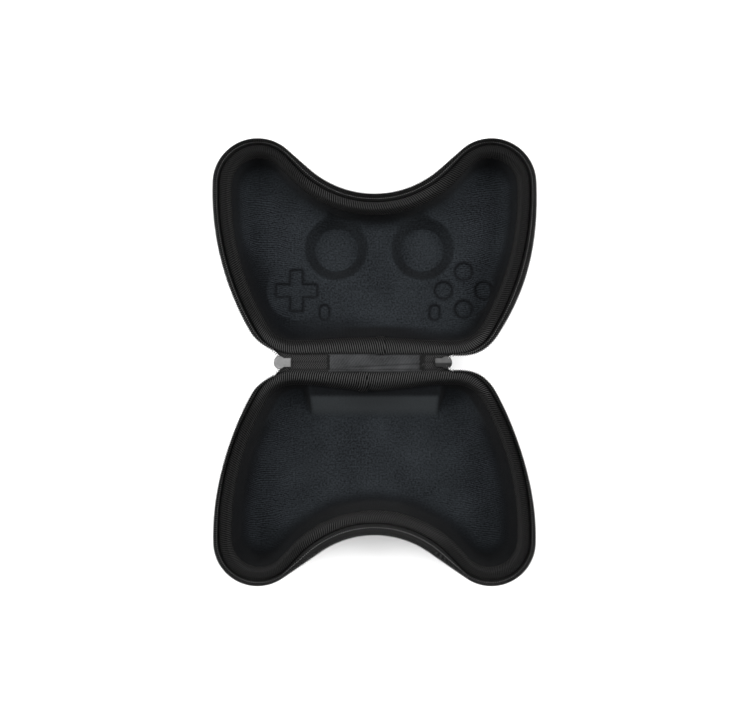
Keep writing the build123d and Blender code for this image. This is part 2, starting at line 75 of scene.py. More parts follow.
# ---------------------------------------------------------------- outline of the rim
def outline_arcs(grow=0.0, front_grow=None):
    """Centres, radii and headings of the tangent arcs of the rim's right half."""
    front_grow = grow if front_grow is None else front_grow
    corner = np.array([CORNER_CENTRE_X, HINGE_EDGE_Y + CORNER_RADIUS])
    horn = np.array(HORN_CENTRE)
    front = np.array([0.0, FRONT_Y + FRONT_RADIUS])
    span = np.hypot(*(horn - corner))
    to_corner, to_horn = SIDE_RADIUS - CORNER_RADIUS, SIDE_RADIUS - HORN_RADIUS
    bearing = math.atan2(*(horn - corner)[::-1]) + math.acos(
        (to_corner**2 + span**2 - to_horn**2) / (2 * to_corner * span)
    )
    side = corner + to_corner * np.array([math.cos(bearing), math.sin(bearing)])
    corner_end = math.atan2(corner[0] - side[0], side[1] - corner[1])
    side_end = math.atan2(horn[0] - side[0], side[1] - horn[1])
    horn_radius, front_radius = HORN_RADIUS + grow, FRONT_RADIUS - front_grow
    across = front - horn
    horn_end = math.atan2(across[1], across[0]) + math.asin(
        (horn_radius + front_radius) / np.hypot(*across)
    )
    horn_end %= 2 * math.pi
    return (
        (corner, CORNER_RADIUS + grow, 0.0, corner_end),
        (side, SIDE_RADIUS + grow, corner_end, side_end),
        (horn, horn_radius, side_end, horn_end),
        (front, -front_radius, horn_end, math.pi),
    )


def stretch_ends():
    """Lengths along the right half of the rim line at which its stretches end."""
    corner, side, horn, front = outline_arcs()
    turn = [abs(a[1] * (a[3] - a[2])) for a in (corner, side, horn, front)]
    tangent_start = horn[0] + horn[1] * np.array([math.sin(horn[3]), -math.cos(horn[3])])
    tangent_end = front[0] + front[1] * np.array([math.sin(front[2]), -math.cos(front[2])])
    tangent = np.hypot(*(tangent_end - tangent_start))
    return np.cumsum([CORNER_CENTRE_X, turn[0], turn[1], turn[2], tangent, turn[3]])


STRETCHES = stretch_ends()
HALF_LENGTH = STRETCHES[-1]
RIM_LENGTH = 2 * HALF_LENGTH


def rim(along, grow=0.0, front_grow=None):
    """Points of the rim line moved outwards by grow, and the outward directions there.

    along is the length from the hinge's middle, anticlockwise in the lid's half.
    """
    along = np.mod(np.asarray(along, float), RIM_LENGTH)
    left = along > HALF_LENGTH
    t = np.where(left, RIM_LENGTH - along, along)
    corner, side, horn, front = outline_arcs(grow, front_grow)
    starts = np.concatenate([[0.0], STRETCHES[:-1]])
    which = np.clip(np.searchsorted(STRETCHES, t, side="left"), 0, 5)
    share = (t - starts[which]) / (STRETCHES - starts)[which]
    points, heading = np.zeros((len(t), 2)), np.zeros(len(t))
    on = which == 0
    points[on] = np.stack([CORNER_CENTRE_X * share[on], np.full(on.sum(), HINGE_EDGE_Y - grow)], 1)
    for index, (centre, radius, start, end) in ((1, corner), (2, side), (3, horn), (5, front)):
        on = which == index
        heading[on] = start + (end - start) * share[on]
        points[on] = centre + radius * np.stack([np.sin(heading[on]), -np.cos(heading[on])], 1)
    on = which == 4
    heading[on] = horn[3]
    direction = np.array([math.sin(horn[3]), -math.cos(horn[3])])
    a, b = horn[0] + horn[1] * direction, front[0] + front[1] * direction
    points[on] = a + (b - a) * share[on][:, None]
    outward = np.stack([np.sin(heading), -np.cos(heading)], 1)
    points[left, 0] *= -1
    outward[left, 0] *= -1
    return points, outward


def smooth_share(value):
    value = np.clip(value, 0, 1)
    return value**2 * (3 - 2 * value)


# ---------------------------------------------------------------- meshes
def new_object(name, data):
    """Object with its data, linked to the scene."""
    made = bpy.data.objects.new(name, data)
    bpy.context.scene.collection.objects.link(made)
    return made


def make_mesh(name, points, faces, uv=None, flip=False, smooth=True, values=None):
    """Mesh object in metres from points in millimetres; uv is one pair for each point."""
    if flip:
        faces = [tuple(reversed(f)) for f in faces]
    mesh = bpy.data.meshes.new(name)
    mesh.from_pydata((np.asarray(points) * MM).tolist(), [], [tuple(f) for f in faces])
    mesh.polygons.foreach_set("use_smooth", [smooth] * len(mesh.polygons))
    if uv is not None:
        layer = mesh.uv_layers.new(name="cloth")
        corners = np.zeros(len(mesh.loops), np.int32)
        mesh.loops.foreach_get("vertex_index", corners)
        layer.data.foreach_set("uv", (np.asarray(uv) * MM)[corners].astype(np.float32).ravel())
    for key, data in (values or {}).items():
        data = np.asarray(data, np.float32)
        kind = "FLOAT" if data.ndim == 1 else "FLOAT_VECTOR"
        field = "value" if data.ndim == 1 else "vector"
        mesh.attributes.new(key, kind, "POINT").data.foreach_set(field, data.ravel())
    mesh.update()
    return new_object(name, mesh)


def capped_faces(rows, columns):
    """Faces of a closed tube of rings, with its two ends."""
    ends = tuple(range(columns))[::-1], tuple(range((rows - 1) * columns, rows * columns))
    return [ends[0], *grid_faces(rows, columns, close_columns=True), ends[1]]


def grid_faces(rows, columns, close_columns=False):
    """Quads between neighbouring points of a grid whose points run row by row."""
    faces = []
    last = columns if close_columns else columns - 1
    for r in range(rows - 1):
        for c in range(last):
            d = (c + 1) % columns
            faces.append((r * columns + c, r * columns + d, (r + 1) * columns + d, (r + 1) * columns + c))
    return faces


def bake(piece):
    """Turns the piece and its live modifiers into one plain mesh."""
    graph = bpy.context.evaluated_depsgraph_get()
    graph.update()
    mesh = bpy.data.meshes.new_from_object(piece.evaluated_get(graph))
    mesh.name = piece.name
    piece.modifiers.clear()
    piece.data = mesh
    return piece


def thicken(piece, thickness, offset=-1.0):
    """Gives a sheet its thickness, in millimetres, behind its visible face."""
    wall = piece.modifiers.new("wall", "SOLIDIFY")
    wall.thickness, wall.offset = thickness * MM, offset
    wall.use_even_offset = True
    return piece


def join(name, pieces):
    """One mesh object out of one or more."""
    if len(pieces) > 1:
        first = pieces[0]
        with bpy.context.temp_override(active_object=first, selected_editable_objects=pieces, object=first):
            bpy.ops.object.join()
    pieces[0].name = pieces[0].data.name = name
    return pieces[0]


def dress(piece, body, node=None):
    """Attaches a finished piece to its body, and hides the CAD node that it stands for."""
    if node:
        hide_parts(node)
    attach(piece, body)


# ---------------------------------------------------------------- node helpers
def add(tree, kind, inputs=(), **settings):
    """New node with its settings, its inputs linked or set."""
    node = tree.nodes.new(kind)
    for key, value in settings.items():
        setattr(node, key, value)
    for key, value in dict(inputs).items():
        if isinstance(value, bpy.types.NodeSocket):
            tree.links.new(value, node.inputs[key])
        else:
            node.inputs[key].default_value = value
    return node


def maths(tree, operation, a, b=0.0, c=0.0):
    return add(tree, "ShaderNodeMath", {0: a, 1: b, 2: c}, operation=operation).outputs[0]


def times(tree, a, b):
    return maths(tree, "MULTIPLY", a, b)


def plus(tree, a, b):
    return maths(tree, "ADD", a, b)


def times_plus(tree, a, b, c):
    return maths(tree, "MULTIPLY_ADD", a, b, c)


def wave(tree, position, pitch):
    """Sine of a coordinate, one period for each pitch, from -1 to 1."""
    return maths(tree, "SINE", times(tree, position, 2 * math.pi / pitch))


def between(tree, value, low, high, to_low=0.0, to_high=1.0):
    """Smooth change from one value to another."""
    return add(
        tree,
        "ShaderNodeMapRange",
        {"Value": value, "From Min": low, "From Max": high, "To Min": to_low, "To Max": to_high},
    ).outputs[0]


def mix_colour(tree, share, a, b):
    node = add(tree, "ShaderNodeMix", data_type="RGBA")
    for socket, value in ((node.inputs[0], share), (node.inputs[6], a), (node.inputs[7], b)):
        if isinstance(value, bpy.types.NodeSocket):
            tree.links.new(value, socket)
        else:
            socket.default_value = value
    return node.outputs[2]


def axes(tree, vector):
    """X, Y and Z of a vector."""
    return add(tree, "ShaderNodeSeparateXYZ", {0: vector}).outputs


def attribute(tree, name):
    return add(tree, "ShaderNodeAttribute", attribute_name=name).outputs["Fac"]


def noise(tree, position, scale, detail=2.0, roughness=0.5):
    inputs = {"Vector": position, "Scale": scale, "Detail": detail, "Roughness": roughness}
    return add(tree, "ShaderNodeTexNoise", inputs).outputs["Fac"]


def grey(value, warmth=0.0):
    return (value * (1 + warmth), value, value * (1 - warmth), 1.0)


def new_finish(name, sockets):
    """Material with a principled shader; returns it, its tree, the shader and the two coordinates."""
    finish = bpy.data.materials.new(name)
    finish.use_nodes = True
    tree = finish.node_tree
    tree.nodes.clear()
    shader = add(tree, "ShaderNodeBsdfPrincipled", sockets)
    out = add(tree, "ShaderNodeOutputMaterial")
    tree.links.new(shader.outputs[0], out.inputs["Surface"])
    place = add(tree, "ShaderNodeTexCoord")
    return finish, tree, shader, place.outputs["Object"], place.outputs["UV"]


def set_surface(tree, shader, colour, height, distance, strength=0.8):
    """Links the colour, and a bump from heights, to the shader."""
    bump = add(tree, "ShaderNodeBump", {"Height": height, "Distance": distance, "Strength": strength})
    tree.links.new(bump.outputs[0], shader.inputs["Normal"])
    tree.links.new(colour, shader.inputs["Base Color"])


# ---------------------------------------------------------------- finishes
def make_knitted_lining():
    """Dark blue-grey knit: fine ribs along the cloth, each a row of small loops."""
    finish, tree, shader, place, cloth = new_finish(
        "knitted_lining",
        {"Roughness": 0.95, "Sheen Weight": 0.015, "Specular IOR Level": 0.05},
    )
    wander = noise(tree, cloth, 60.0, 1.0)
    split = axes(tree, cloth)
    across = plus(tree, split[1], times(tree, wander, 0.006))
    ribs = wave(tree, across, 0.0012)
    sideways = between(tree, maths(tree, "ABSOLUTE", split[0]), 0.034, 0.066)
    upwards = between(tree, split[1], 0.07, 0.1)
    shown = maths(tree, "MAXIMUM", maths(tree, "MAXIMUM", sideways, upwards), 0.1)
    ribs = times(tree, ribs, shown)
    loops = wave(tree, plus(tree, split[0], times(tree, ribs, 0.0001)), 0.00085)
    fuzz = noise(tree, cloth, 900.0, 3.0, 0.75)
    height = plus(tree, times(tree, ribs, 0.5), times(tree, loops, 0.15))
    height = plus(tree, height, fuzz)
    patches = noise(tree, place, 45.0, 2.0)
    tone = times_plus(tree, ribs, 0.11, fuzz)
    tone = plus(tree, tone, times(tree, patches, 0.25))
    share = between(tree, tone, 0.42, 0.84)
    colour = mix_colour(tree, share, (0.0014, 0.0017, 0.0021, 1), (0.0184, 0.0214, 0.0245, 1))
    # Painted light on the base's ramp, from the attribute lit
    lit = attribute(tree, "lit")
    colour = mix_colour(tree, lit, colour, (0.045, 0.05, 0.053, 1))
    # Painted shade on the sloping walls, along their feet and round the pressed shapes, from its attribute
    steep = attribute(tree, "steep")
    colour = mix_colour(tree, times(tree, steep, 0.85), colour, (0.0012, 0.0013, 0.0017, 1))
    set_surface(tree, shader, colour, height, 0.00025)
    return finish


def make_ribbed_binding():
    """Black grosgrain: the ribs are in the mesh, the fine threads that run along it are here."""
    finish, tree, shader, _, cloth = new_finish(
        "ribbed_binding", {"Roughness": 0.45, "Specular IOR Level": 0.03}
    )
    split = axes(tree, cloth)
    threads = wave(tree, split[1], 0.00042)
    slanted = times_plus(tree, split[1], RIB_SLANT, split[0])
    ribs = wave(tree, slanted, RIB_PITCH * MM)
    fuzz = noise(tree, cloth, 1800.0, 3.0, 0.7)
    tone = times_plus(tree, ribs, 0.8, times(tree, fuzz, 0.5))
    share = between(tree, tone, 0.35, 0.95)
    # Painted sheen: the attribute sets how light the ribs' crests are along the binding
    bright = attribute(tree, "bright")
    colour = mix_colour(tree, times(tree, share, bright), grey(0.0), grey(0.042))
    set_surface(tree, shader, colour, times_plus(tree, threads, 0.4, fuzz), 0.00012, 0.7)
    return finish


def make_zipper_tape():
    """Black woven tape in fine herringbone."""
    finish, tree, shader, place, cloth = new_finish(
        "zipper_tape", {"Roughness": 0.7, "Specular IOR Level": 0.06}
    )
    split = axes(tree, cloth)
    zigzag = maths(tree, "PINGPONG", split[1], 0.0015)
    twill = wave(tree, plus(tree, split[0], zigzag), 0.0013)
    fuzz = noise(tree, cloth, 1600.0, 3.0, 0.7)
    tone = times_plus(tree, twill, 0.6, times(tree, fuzz, 0.8))
    share = between(tree, tone, 0.2, 0.9)
    # The open tapes stand up and get painted shade, the closed ones beside the hinge lie flat and get none
    from_hinge = maths(tree, "ABSOLUTE", axes(tree, place)[1])
    flat = between(tree, from_hinge, 0.0062, 0.0070, 1.0, 0.55)
    colour = mix_colour(tree, times(tree, share, flat), grey(0.0006), grey(0.034))
    set_surface(tree, shader, colour, times_plus(tree, twill, 0.6, fuzz), 0.00016)
    return finish


def make_hinge_twill():
    """Grey twill with sharply slanted diagonal lines."""
    finish, tree, shader, _, cloth = new_finish(
        "hinge_twill",
        {"Roughness": 0.85, "Sheen Weight": 0.03, "Specular IOR Level": 0.15},
    )
    split = axes(tree, cloth)
    diagonal = times(tree, split[1], -0.6)
    diagonal = times_plus(tree, split[0], 0.8, diagonal)
    twill = wave(tree, diagonal, 0.0014)
    fuzz = noise(tree, cloth, 1500.0, 3.0, 0.7)
    patches = noise(tree, cloth, 90.0, 2.0)
    tone = times_plus(tree, twill, 0.08, fuzz)
    tone = times_plus(tree, patches, 0.8, tone)
    share = between(tree, tone, 0.52, 1.16)
    colour = mix_colour(tree, share, (0.0022, 0.0023, 0.0025, 1), (0.033, 0.034, 0.0355, 1))
    set_surface(tree, shader, colour, times_plus(tree, twill, 0.6, fuzz), 0.00016)
    return finish


def make_shell_cloth():
    """Black plain-woven nylon on the outside of the moulded halves."""
    finish, tree, shader, place, _ = new_finish(
        "shell_cloth",
        {"Roughness": 0.55, "Sheen Weight": 0.03, "Specular IOR Level": 0.25},
    )
    split = axes(tree, place)
    pitch = 0.0011
    weave = [wave(tree, split[i], pitch) for i in range(3)]
    crossed = times(tree, weave[0], weave[1])
    walls = times(tree, maths(tree, "MAXIMUM", weave[0], weave[1]), weave[2])
    facing = axes(tree, add(tree, "ShaderNodeNewGeometry").outputs["Normal"])
    upright = between(tree, maths(tree, "ABSOLUTE", facing[2]), 0.45, 0.75)
    pattern = add(tree, "ShaderNodeMix", {0: upright, 2: walls, 3: crossed}).outputs[0]
    fuzz = noise(tree, place, 900.0, 3.0, 0.6)
    tone = times_plus(tree, pattern, 0.3, fuzz)
    share = between(tree, tone, 0.15, 0.9)
    colour = mix_colour(tree, share, grey(0.004), grey(0.015))
    set_surface(tree, shader, colour, times_plus(tree, pattern, 0.6, fuzz), 0.00014)
    return finish


def make_plain_finish(name, dark, light, sockets, scale, bump, lit_by=None):
    """Even finish with fine mottling; with lit_by, painted shade turns it black where that attribute is 0."""
    finish, tree, shader, place, _ = new_finish(name, sockets)
    grain = noise(tree, place, scale, 3.0, 0.6)
    share = between(tree, grain, 0.3, 0.7)
    colour = mix_colour(tree, share, dark, light)
    # Painted shade: black mixed in where the attribute is low
    if lit_by:
        colour = mix_colour(tree, attribute(tree, lit_by), grey(0.0015), colour)
    set_surface(tree, shader, colour, grain, bump, 0.5)
    return finish


def make_slider_metal():
    """Dull cast metal with a painted reflection: darker on the right slider and darkest on its lower half."""
    finish = make_plain_finish(
        "slider_metal", grey(0.08), grey(0.115), {"Metallic": 1.0, "Roughness": 0.38}, 260.0, 0.00002
    )
    tree = finish.node_tree
    shader = next(n for n in tree.nodes if n.type == "BSDF_PRINCIPLED")
    place = next(n for n in tree.nodes if n.type == "TEX_COORD").outputs["Object"]
    split = axes(tree, place)
    # Painted reflection: the right slider darkened, more on its lower half
    right = between(tree, split[0], -0.001, 0.001)
    low = between(tree, split[1], -0.0006, 0.0002, 1.0, 0.0)
    share = times(tree, right, times_plus(tree, low, 0.36, 0.56))
    plain = shader.inputs["Base Color"].links[0].from_socket
    tree.links.new(mix_colour(tree, share, plain, grey(0.004)), shader.inputs["Base Color"])
    return finish


FINISHES = {
    "knitted_lining": make_knitted_lining(),
    "ribbed_binding": make_ribbed_binding(),
    "zipper_tape": make_zipper_tape(),
    "hinge_twill": make_hinge_twill(),
    "shell_cloth": make_shell_cloth(),
    # The coil is black; these light greys are a painted highlight, which the marked attribute keeps to the
    # teeth's outer ends and dims a little on the loops, with painted shade towards the roots
    "zipper_coil": make_plain_finish(
        "zipper_coil", grey(0.15), grey(0.27), {"Roughness": 0.35, "Specular IOR Level": 0.3},
        700.0, 0.00003, "tip",
    ),
    "thread": make_plain_finish(
        "thread", grey(0.0015), grey(0.005), {"Roughness": 0.7, "Specular IOR Level": 0.15}, 2500.0, 0.00005
    ),
    "slider_metal": make_slider_metal(),
}


# ---------------------------------------------------------------- geometry nodes
def new_tree(name, sockets):
    """Geometry tree with named inputs; returns it, its input node and its output node."""
    tree = bpy.data.node_groups.new(name, "GeometryNodeTree")
    tree.interface.new_socket("Geometry", in_out="OUTPUT", socket_type="NodeSocketGeometry")
    tree.interface.new_socket("Geometry", in_out="INPUT", socket_type="NodeSocketGeometry")
    for label, kind in sockets.items():
        tree.interface.new_socket(label, in_out="INPUT", socket_type="NodeSocket" + kind)
    return tree, tree.nodes.new("NodeGroupInput"), tree.nodes.new("NodeGroupOutput")


def run_tree(piece, tree, **values):
    """Runs a geometry tree on a piece with its named inputs set, and keeps the plain mesh."""
    run = piece.modifiers.new(tree.name, "NODES")
    run.node_group = tree
    for item in tree.interface.items_tree:
        label = item.name.lower().replace(" ", "_")
        if item.item_type == "SOCKET" and item.in_out == "INPUT" and label in values:
            run[item.identifier] = values[label]
    return bake(piece)


def named(tree, name, kind="FLOAT_VECTOR"):
    """Value of a named attribute."""
    return add(tree, "GeometryNodeInputNamedAttribute", {"Name": name}, data_type=kind).outputs[0]


def finish_tree(tree, shape, inputs, out):
    """Ends a tree: its copies are made real and take their finish."""
    real = add(tree, "GeometryNodeRealizeInstances", {0: shape})
    done = add(tree, "GeometryNodeSetMaterial", {0: real.outputs[0], "Material": inputs.outputs["Finish"]})
    tree.links.new(done.outputs[0], out.inputs[0])
    return tree


def make_copies_tree():
    """Sets copies of one piece along a path, facing the path's own outward direction."""
    tree, inputs, out = new_tree(
        "copies_along_path",
        {"Copy": "Object", "Pitch": "Float", "Unevenness": "Float", "Seed": "Int", "Finish": "Material"},
    )
    path = add(tree, "GeometryNodeMeshToCurve", {0: inputs.outputs["Geometry"]})
    places = add(tree, "GeometryNodeResampleCurve", {0: path.outputs[0]}, mode="LENGTH")
    tree.links.new(inputs.outputs["Pitch"], places.inputs["Length"])
    facing = add(tree, "FunctionNodeAlignRotationToVector", {"Vector": named(tree, "outward")}, axis="X")
    turned = {"Rotation": facing.outputs[0], "Vector": named(tree, "upward")}
    upright = add(tree, "FunctionNodeAlignRotationToVector", turned, axis="Z", pivot_axis="X")
    most = add(tree, "ShaderNodeCombineXYZ", {i: inputs.outputs["Unevenness"] for i in range(3)})
    least = add(tree, "ShaderNodeVectorMath", {0: most.outputs[0], "Scale": -1.0}, operation="SCALE")
    limits = {"Min": least.outputs[0], "Max": most.outputs[0], "Seed": inputs.outputs["Seed"]}
    chance = add(tree, "FunctionNodeRandomValue", limits, data_type="FLOAT_VECTOR")
    turns = {0: upright.outputs[0], 1: chance.outputs[0]}
    turn = add(tree, "FunctionNodeRotateRotation", turns, rotation_space="LOCAL")
    source = add(tree, "GeometryNodeObjectInfo", {"Object": inputs.outputs["Copy"], "As Instance": True})
    shape = source.outputs["Geometry"]
    placed = {"Points": places.outputs[0], "Instance": shape, "Rotation": turn.outputs[0]}
    copies = add(tree, "GeometryNodeInstanceOnPoints", placed)
    return finish_tree(tree, copies.outputs[0], inputs, out)


def make_ribs_tree():
    """Raises slanted ribs on a woven tape, from the lengths along and across it."""
    tree, inputs, out = new_tree(
        "ribs_on_tape", {"Pitch": "Float", "Height": "Float", "Slant": "Float", "Finish": "Material"}
    )
    along, across = named(tree, "along", "FLOAT"), named(tree, "across", "FLOAT")
    slanted = times_plus(tree, across, inputs.outputs["Slant"], along)
    turns = maths(tree, "DIVIDE", slanted, inputs.outputs["Pitch"])
    crest = maths(tree, "SINE", times(tree, turns, 2 * math.pi))
    lift = times(tree, crest, inputs.outputs["Height"])
    normal = add(tree, "GeometryNodeInputNormal")
    offset = add(tree, "ShaderNodeVectorMath", {0: normal.outputs[0], "Scale": lift}, operation="SCALE")
    raised = add(
        tree, "GeometryNodeSetPosition", {"Geometry": inputs.outputs["Geometry"], "Offset": offset.outputs[0]}
    )
    return finish_tree(tree, raised.outputs[0], inputs, out)


COPIES = make_copies_tree()
RIBS = make_ribs_tree()


def path_mesh(name, points, outward, upward):
    """Row of edges that carries the directions which copies on it face."""
    count = len(points)
    mesh = bpy.data.meshes.new(name)
    mesh.from_pydata((np.asarray(points) * MM).tolist(), [(i, i + 1) for i in range(count - 1)], [])
    for key, data in (("outward", outward), ("upward", upward)):
        data = np.broadcast_to(np.asarray(data, np.float32), (count, 3))
        mesh.attributes.new(key, "FLOAT_VECTOR", "POINT").data.foreach_set("vector", data.ravel())
    return new_object(name, mesh)


def row_of(name, copy, points, outward, upward, pitch, finish, seed, unevenness=0.0):
    """Plain mesh of copies along a path."""
    piece, finish = path_mesh(name, points, outward, upward), FINISHES[finish]
    values = {"copy": copy, "pitch": pitch * MM, "unevenness": unevenness, "seed": seed}
    return run_tree(piece, COPIES, finish=finish, **values)


def stacked_shape(name, outline, levels):
    """Closed form from one outline in X and Y repeated at levels (z, scale); its outer end is marked for a
    painted highlight.
    """
    outline = np.asarray(outline, float)
    middle = outline.mean(0)
    points, count = [], len(outline)
    for z, scale in levels:
        ring = middle + (outline - middle) * scale
        points += [(x, y, z) for x, y in ring]
    # Painted highlight at the outer end, painted shade towards the root
    tip = smooth_share((np.array(points)[:, 0] - 1.0) / 0.4)
    return make_mesh(name, points, capped_faces(len(levels), count), smooth=False, values={"tip": tip})


def thread_shape(name, length, radius, sides=7, bow=0.25):
    """One stitch: a rounded thread along Y, bowed so that its two ends go into the cloth."""
    shares = (0.0, 0.06, 0.2, 0.5, 0.8, 0.94, 1.0)
    widths = (0.25, 0.75, 1.0, 1.0, 1.0, 0.75, 0.25)
    points = []
    for share, width in zip(shares, widths):
        y = (share - 0.5) * length
        lift = bow * (1 - (2 * share - 1) ** 2) - bow * 0.6
        for k in range(sides):
            angle = 2 * math.pi * k / sides
            points.append((lift + radius * width * math.cos(angle), y, radius * width * math.sin(angle)))
    # The whole thread gets three quarters of the painted highlight where its finish reads it, as on the
    # coil's loops
    tip = np.full(len(points), 0.75)
    return make_mesh(name, points, capped_faces(len(shares), sides), values={"tip": tip})


# ---------------------------------------------------------------- moulded linings
def moulded_edge(inside, floor_z, radius, slope):
    """Height over a floor that rises in a rounded edge to a wall; inside is the way in from its foot."""
    lean = math.atan(slope)
    tangent = radius * math.tan((math.pi / 2 - lean) / 2)
    centre_z = floor_z + radius
    away = np.clip(tangent - inside, 0.0, radius)
    round_z = centre_z - np.sqrt(np.maximum(radius**2 - away**2, 0.0))
    wall_z = floor_z - inside / slope
    return np.where(inside >= tangent, floor_z, np.where(away < radius * math.cos(lean), round_z, wall_z))


def soft_min(a, b, width):
    share = np.clip(0.5 + 0.5 * (b - a) / width, 0.0, 1.0)
    return b * (1 - share) + a * share - width * share * (1 - share)


def rectangle_gap(x, y, half_x, half_y, corner=0.0):
    """Signed distance to a rectangle with round corners, negative inside."""
    dx, dy = np.abs(x) - half_x + corner, np.abs(y) - half_y + corner
    return np.hypot(np.maximum(dx, 0), np.maximum(dy, 0)) + np.minimum(np.maximum(dx, dy), 0) - corner


RELIEF_X = 3.0
STICKS = [(RELIEF_X - 26.2, 68.8), (RELIEF_X + 26.2, 68.8)]
BULGES = [(RELIEF_X - 50.1, 43.6), (RELIEF_X + 50.8, 43.7)]
STICK_FLAT_RADIUS, STICK_FLAT_Z, STICK_SLOPE = 12.8, 3.6, 0.775
BULGE_RADIUS = 18.0
CROSS_HALF_SPAN, CROSS_HALF_ARM = 12.2, 3.65
ROUND_PLACES, ROUND_RADIUS = ((12.1, 0), (-12.1, 0), (0, 11.4), (0, -11.4)), 4.95
PRESSED_DEPTH, PRESSED_EDGE = 1.05, 1.5
TOUCH_DEPTH, TOUCH_EDGE = 0.35, 1.2


def pressed_gap(x, y):
    """Signed distance to the cross, the four round buttons and the two ovals."""
    cross_x, cross_y = x - BULGES[0][0], y - BULGES[0][1]
    gap = rectangle_gap(cross_x, cross_y, CROSS_HALF_SPAN, CROSS_HALF_ARM, 0.8)
    gap = np.minimum(gap, rectangle_gap(cross_x, cross_y, CROSS_HALF_ARM, CROSS_HALF_SPAN, 0.8))
    for dx, dy in ROUND_PLACES:
        gap = np.minimum(gap, np.hypot(x - BULGES[1][0] - dx, y - BULGES[1][1] - dy) - ROUND_RADIUS)
    for sign in (-1, 1):
        gap = np.minimum(gap, rectangle_gap(x - RELIEF_X - sign * 33.3, y - 30.4, 2.75, 4.3, 2.7))
    return gap


def touch_gap(x, y):
    """Distance from the middle of the shallow line round the touch-pad's place."""
    return np.abs(rectangle_gap(x - RELIEF_X, y - 34.0, 23.2, 10.4, 2.4))


def hinge_padding(x, y, z, floor_z, top_y, slope):
    """Raises the wall beside the hinge, which leans in more than the other walls."""
    share = smooth_share(1 - np.abs(x) / 52.0)
    pad = 26.5 - (y - top_y) / slope
    padded = -soft_min(-z, -pad, 3.0)
    return z + (padded - z) * share


def lid_height(x, y, inset):
    """Height of the lid's lining."""
    foot = inset - LINED_WALL - (RIM_Z - LID_FLOOR_Z) * DRAFT
    z = moulded_edge(foot, LID_FLOOR_Z, FLOOR_EDGE_RADIUS, DRAFT)
    for cx, cy in BULGES:
        disc = moulded_edge(BULGE_RADIUS - 1.3 - np.hypot(x - cx, y - cy), LID_FLOOR_Z, 2.5, DRAFT)
        z = np.minimum(z, np.maximum(disc, 30.0 - (inset - 4.4) * 5.5))
    z = hinge_padding(x, y, z, LID_FLOOR_Z, HINGE_EDGE_Y + 7.3, 0.55)
    z = z - PRESSED_DEPTH * smooth_share(0.5 - pressed_gap(x, y) / PRESSED_EDGE)
    z = z - TOUCH_DEPTH * smooth_share(1.0 - touch_gap(x, y) / TOUCH_EDGE)
    under_wall = 15.0 - (inset - 7.6) * 9.0
    for cx, cy in STICKS:
        cone = moulded_edge(STICK_FLAT_RADIUS - np.hypot(x - cx, y - cy), STICK_FLAT_Z, 1.4, STICK_SLOPE)
        z = soft_min(z, np.maximum(cone, under_wall), 1.3)
    return z


def lid_detail(x, y):
    """Distance to the nearest edge that needs a fine mesh."""
    near = np.minimum(np.abs(pressed_gap(x, y)), touch_gap(x, y))
    for cx, cy in STICKS:
        r = np.hypot(x - cx, y - cy)
        near = np.minimum(near, np.minimum(np.abs(r - 12.9), np.abs(r - 19.0)))
    for cx, cy in BULGES:
        near = np.minimum(near, np.abs(np.hypot(x - cx, y - cy) - 18.2))
    return near


RAMP_HALF_WIDTH = 39.8
RAMP_LINE = 35.02


def base_height(x, y, inset):
    """Height of the base's lining, with the ramp under the hinge."""
    foot = inset - LINED_WALL - (RIM_Z - BASE_FLOOR_Z) * DRAFT
    z = moulded_edge(foot, BASE_FLOOR_Z, FLOOR_EDGE_RADIUS, DRAFT)
    ramp = RAMP_LINE - y - np.maximum(np.abs(x) - RAMP_HALF_WIDTH + 1.2, 0) * 2.4
    z = -soft_min(-z, -ramp, 3.0)
    return hinge_padding(x, y, z, BASE_FLOOR_Z, HINGE_EDGE_Y + 9.0, 0.7)


def base_detail(x, y):
    side = np.abs(np.abs(x) - RAMP_HALF_WIDTH + 0.5)
    return np.where(y < 34, side, 99.0)


def inside_loop(points, loop):
    """Which points lie inside a closed outline."""
    inside = np.zeros(len(points), bool)
    a, b = loop, np.roll(loop, -1, 0)
    for (ax, ay), (bx, by) in zip(a, b):
        crosses = (ay > points[:, 1]) != (by > points[:, 1])
        if crosses.any():
            at = ax + (points[:, 1] - ay) * (bx - ax) / (by - ay if by != ay else 1e-9)
            inside ^= crosses & (points[:, 0] < at)
    return inside


# Insets of the rings down the wall of each half
LID_RINGS = [
    4.4, 4.9, 5.4, 6.0, 6.6, 7.1, 7.5, 7.75, 8.0, 8.4,
    9.0, 9.7, 10.4, 11.2, 12.0, 12.8, 13.6, 14.4, 15.2, 16.0,
]
BASE_RINGS = [
    4.4, 5.0, 5.6, 6.2, 6.8, 7.4, 8.0, 8.6, 9.2, 9.8,
    10.4, 11.0, 11.6, 12.3, 13.0, 13.8, 14.6, 15.4, 16.2, 17.0, 18.0,
]


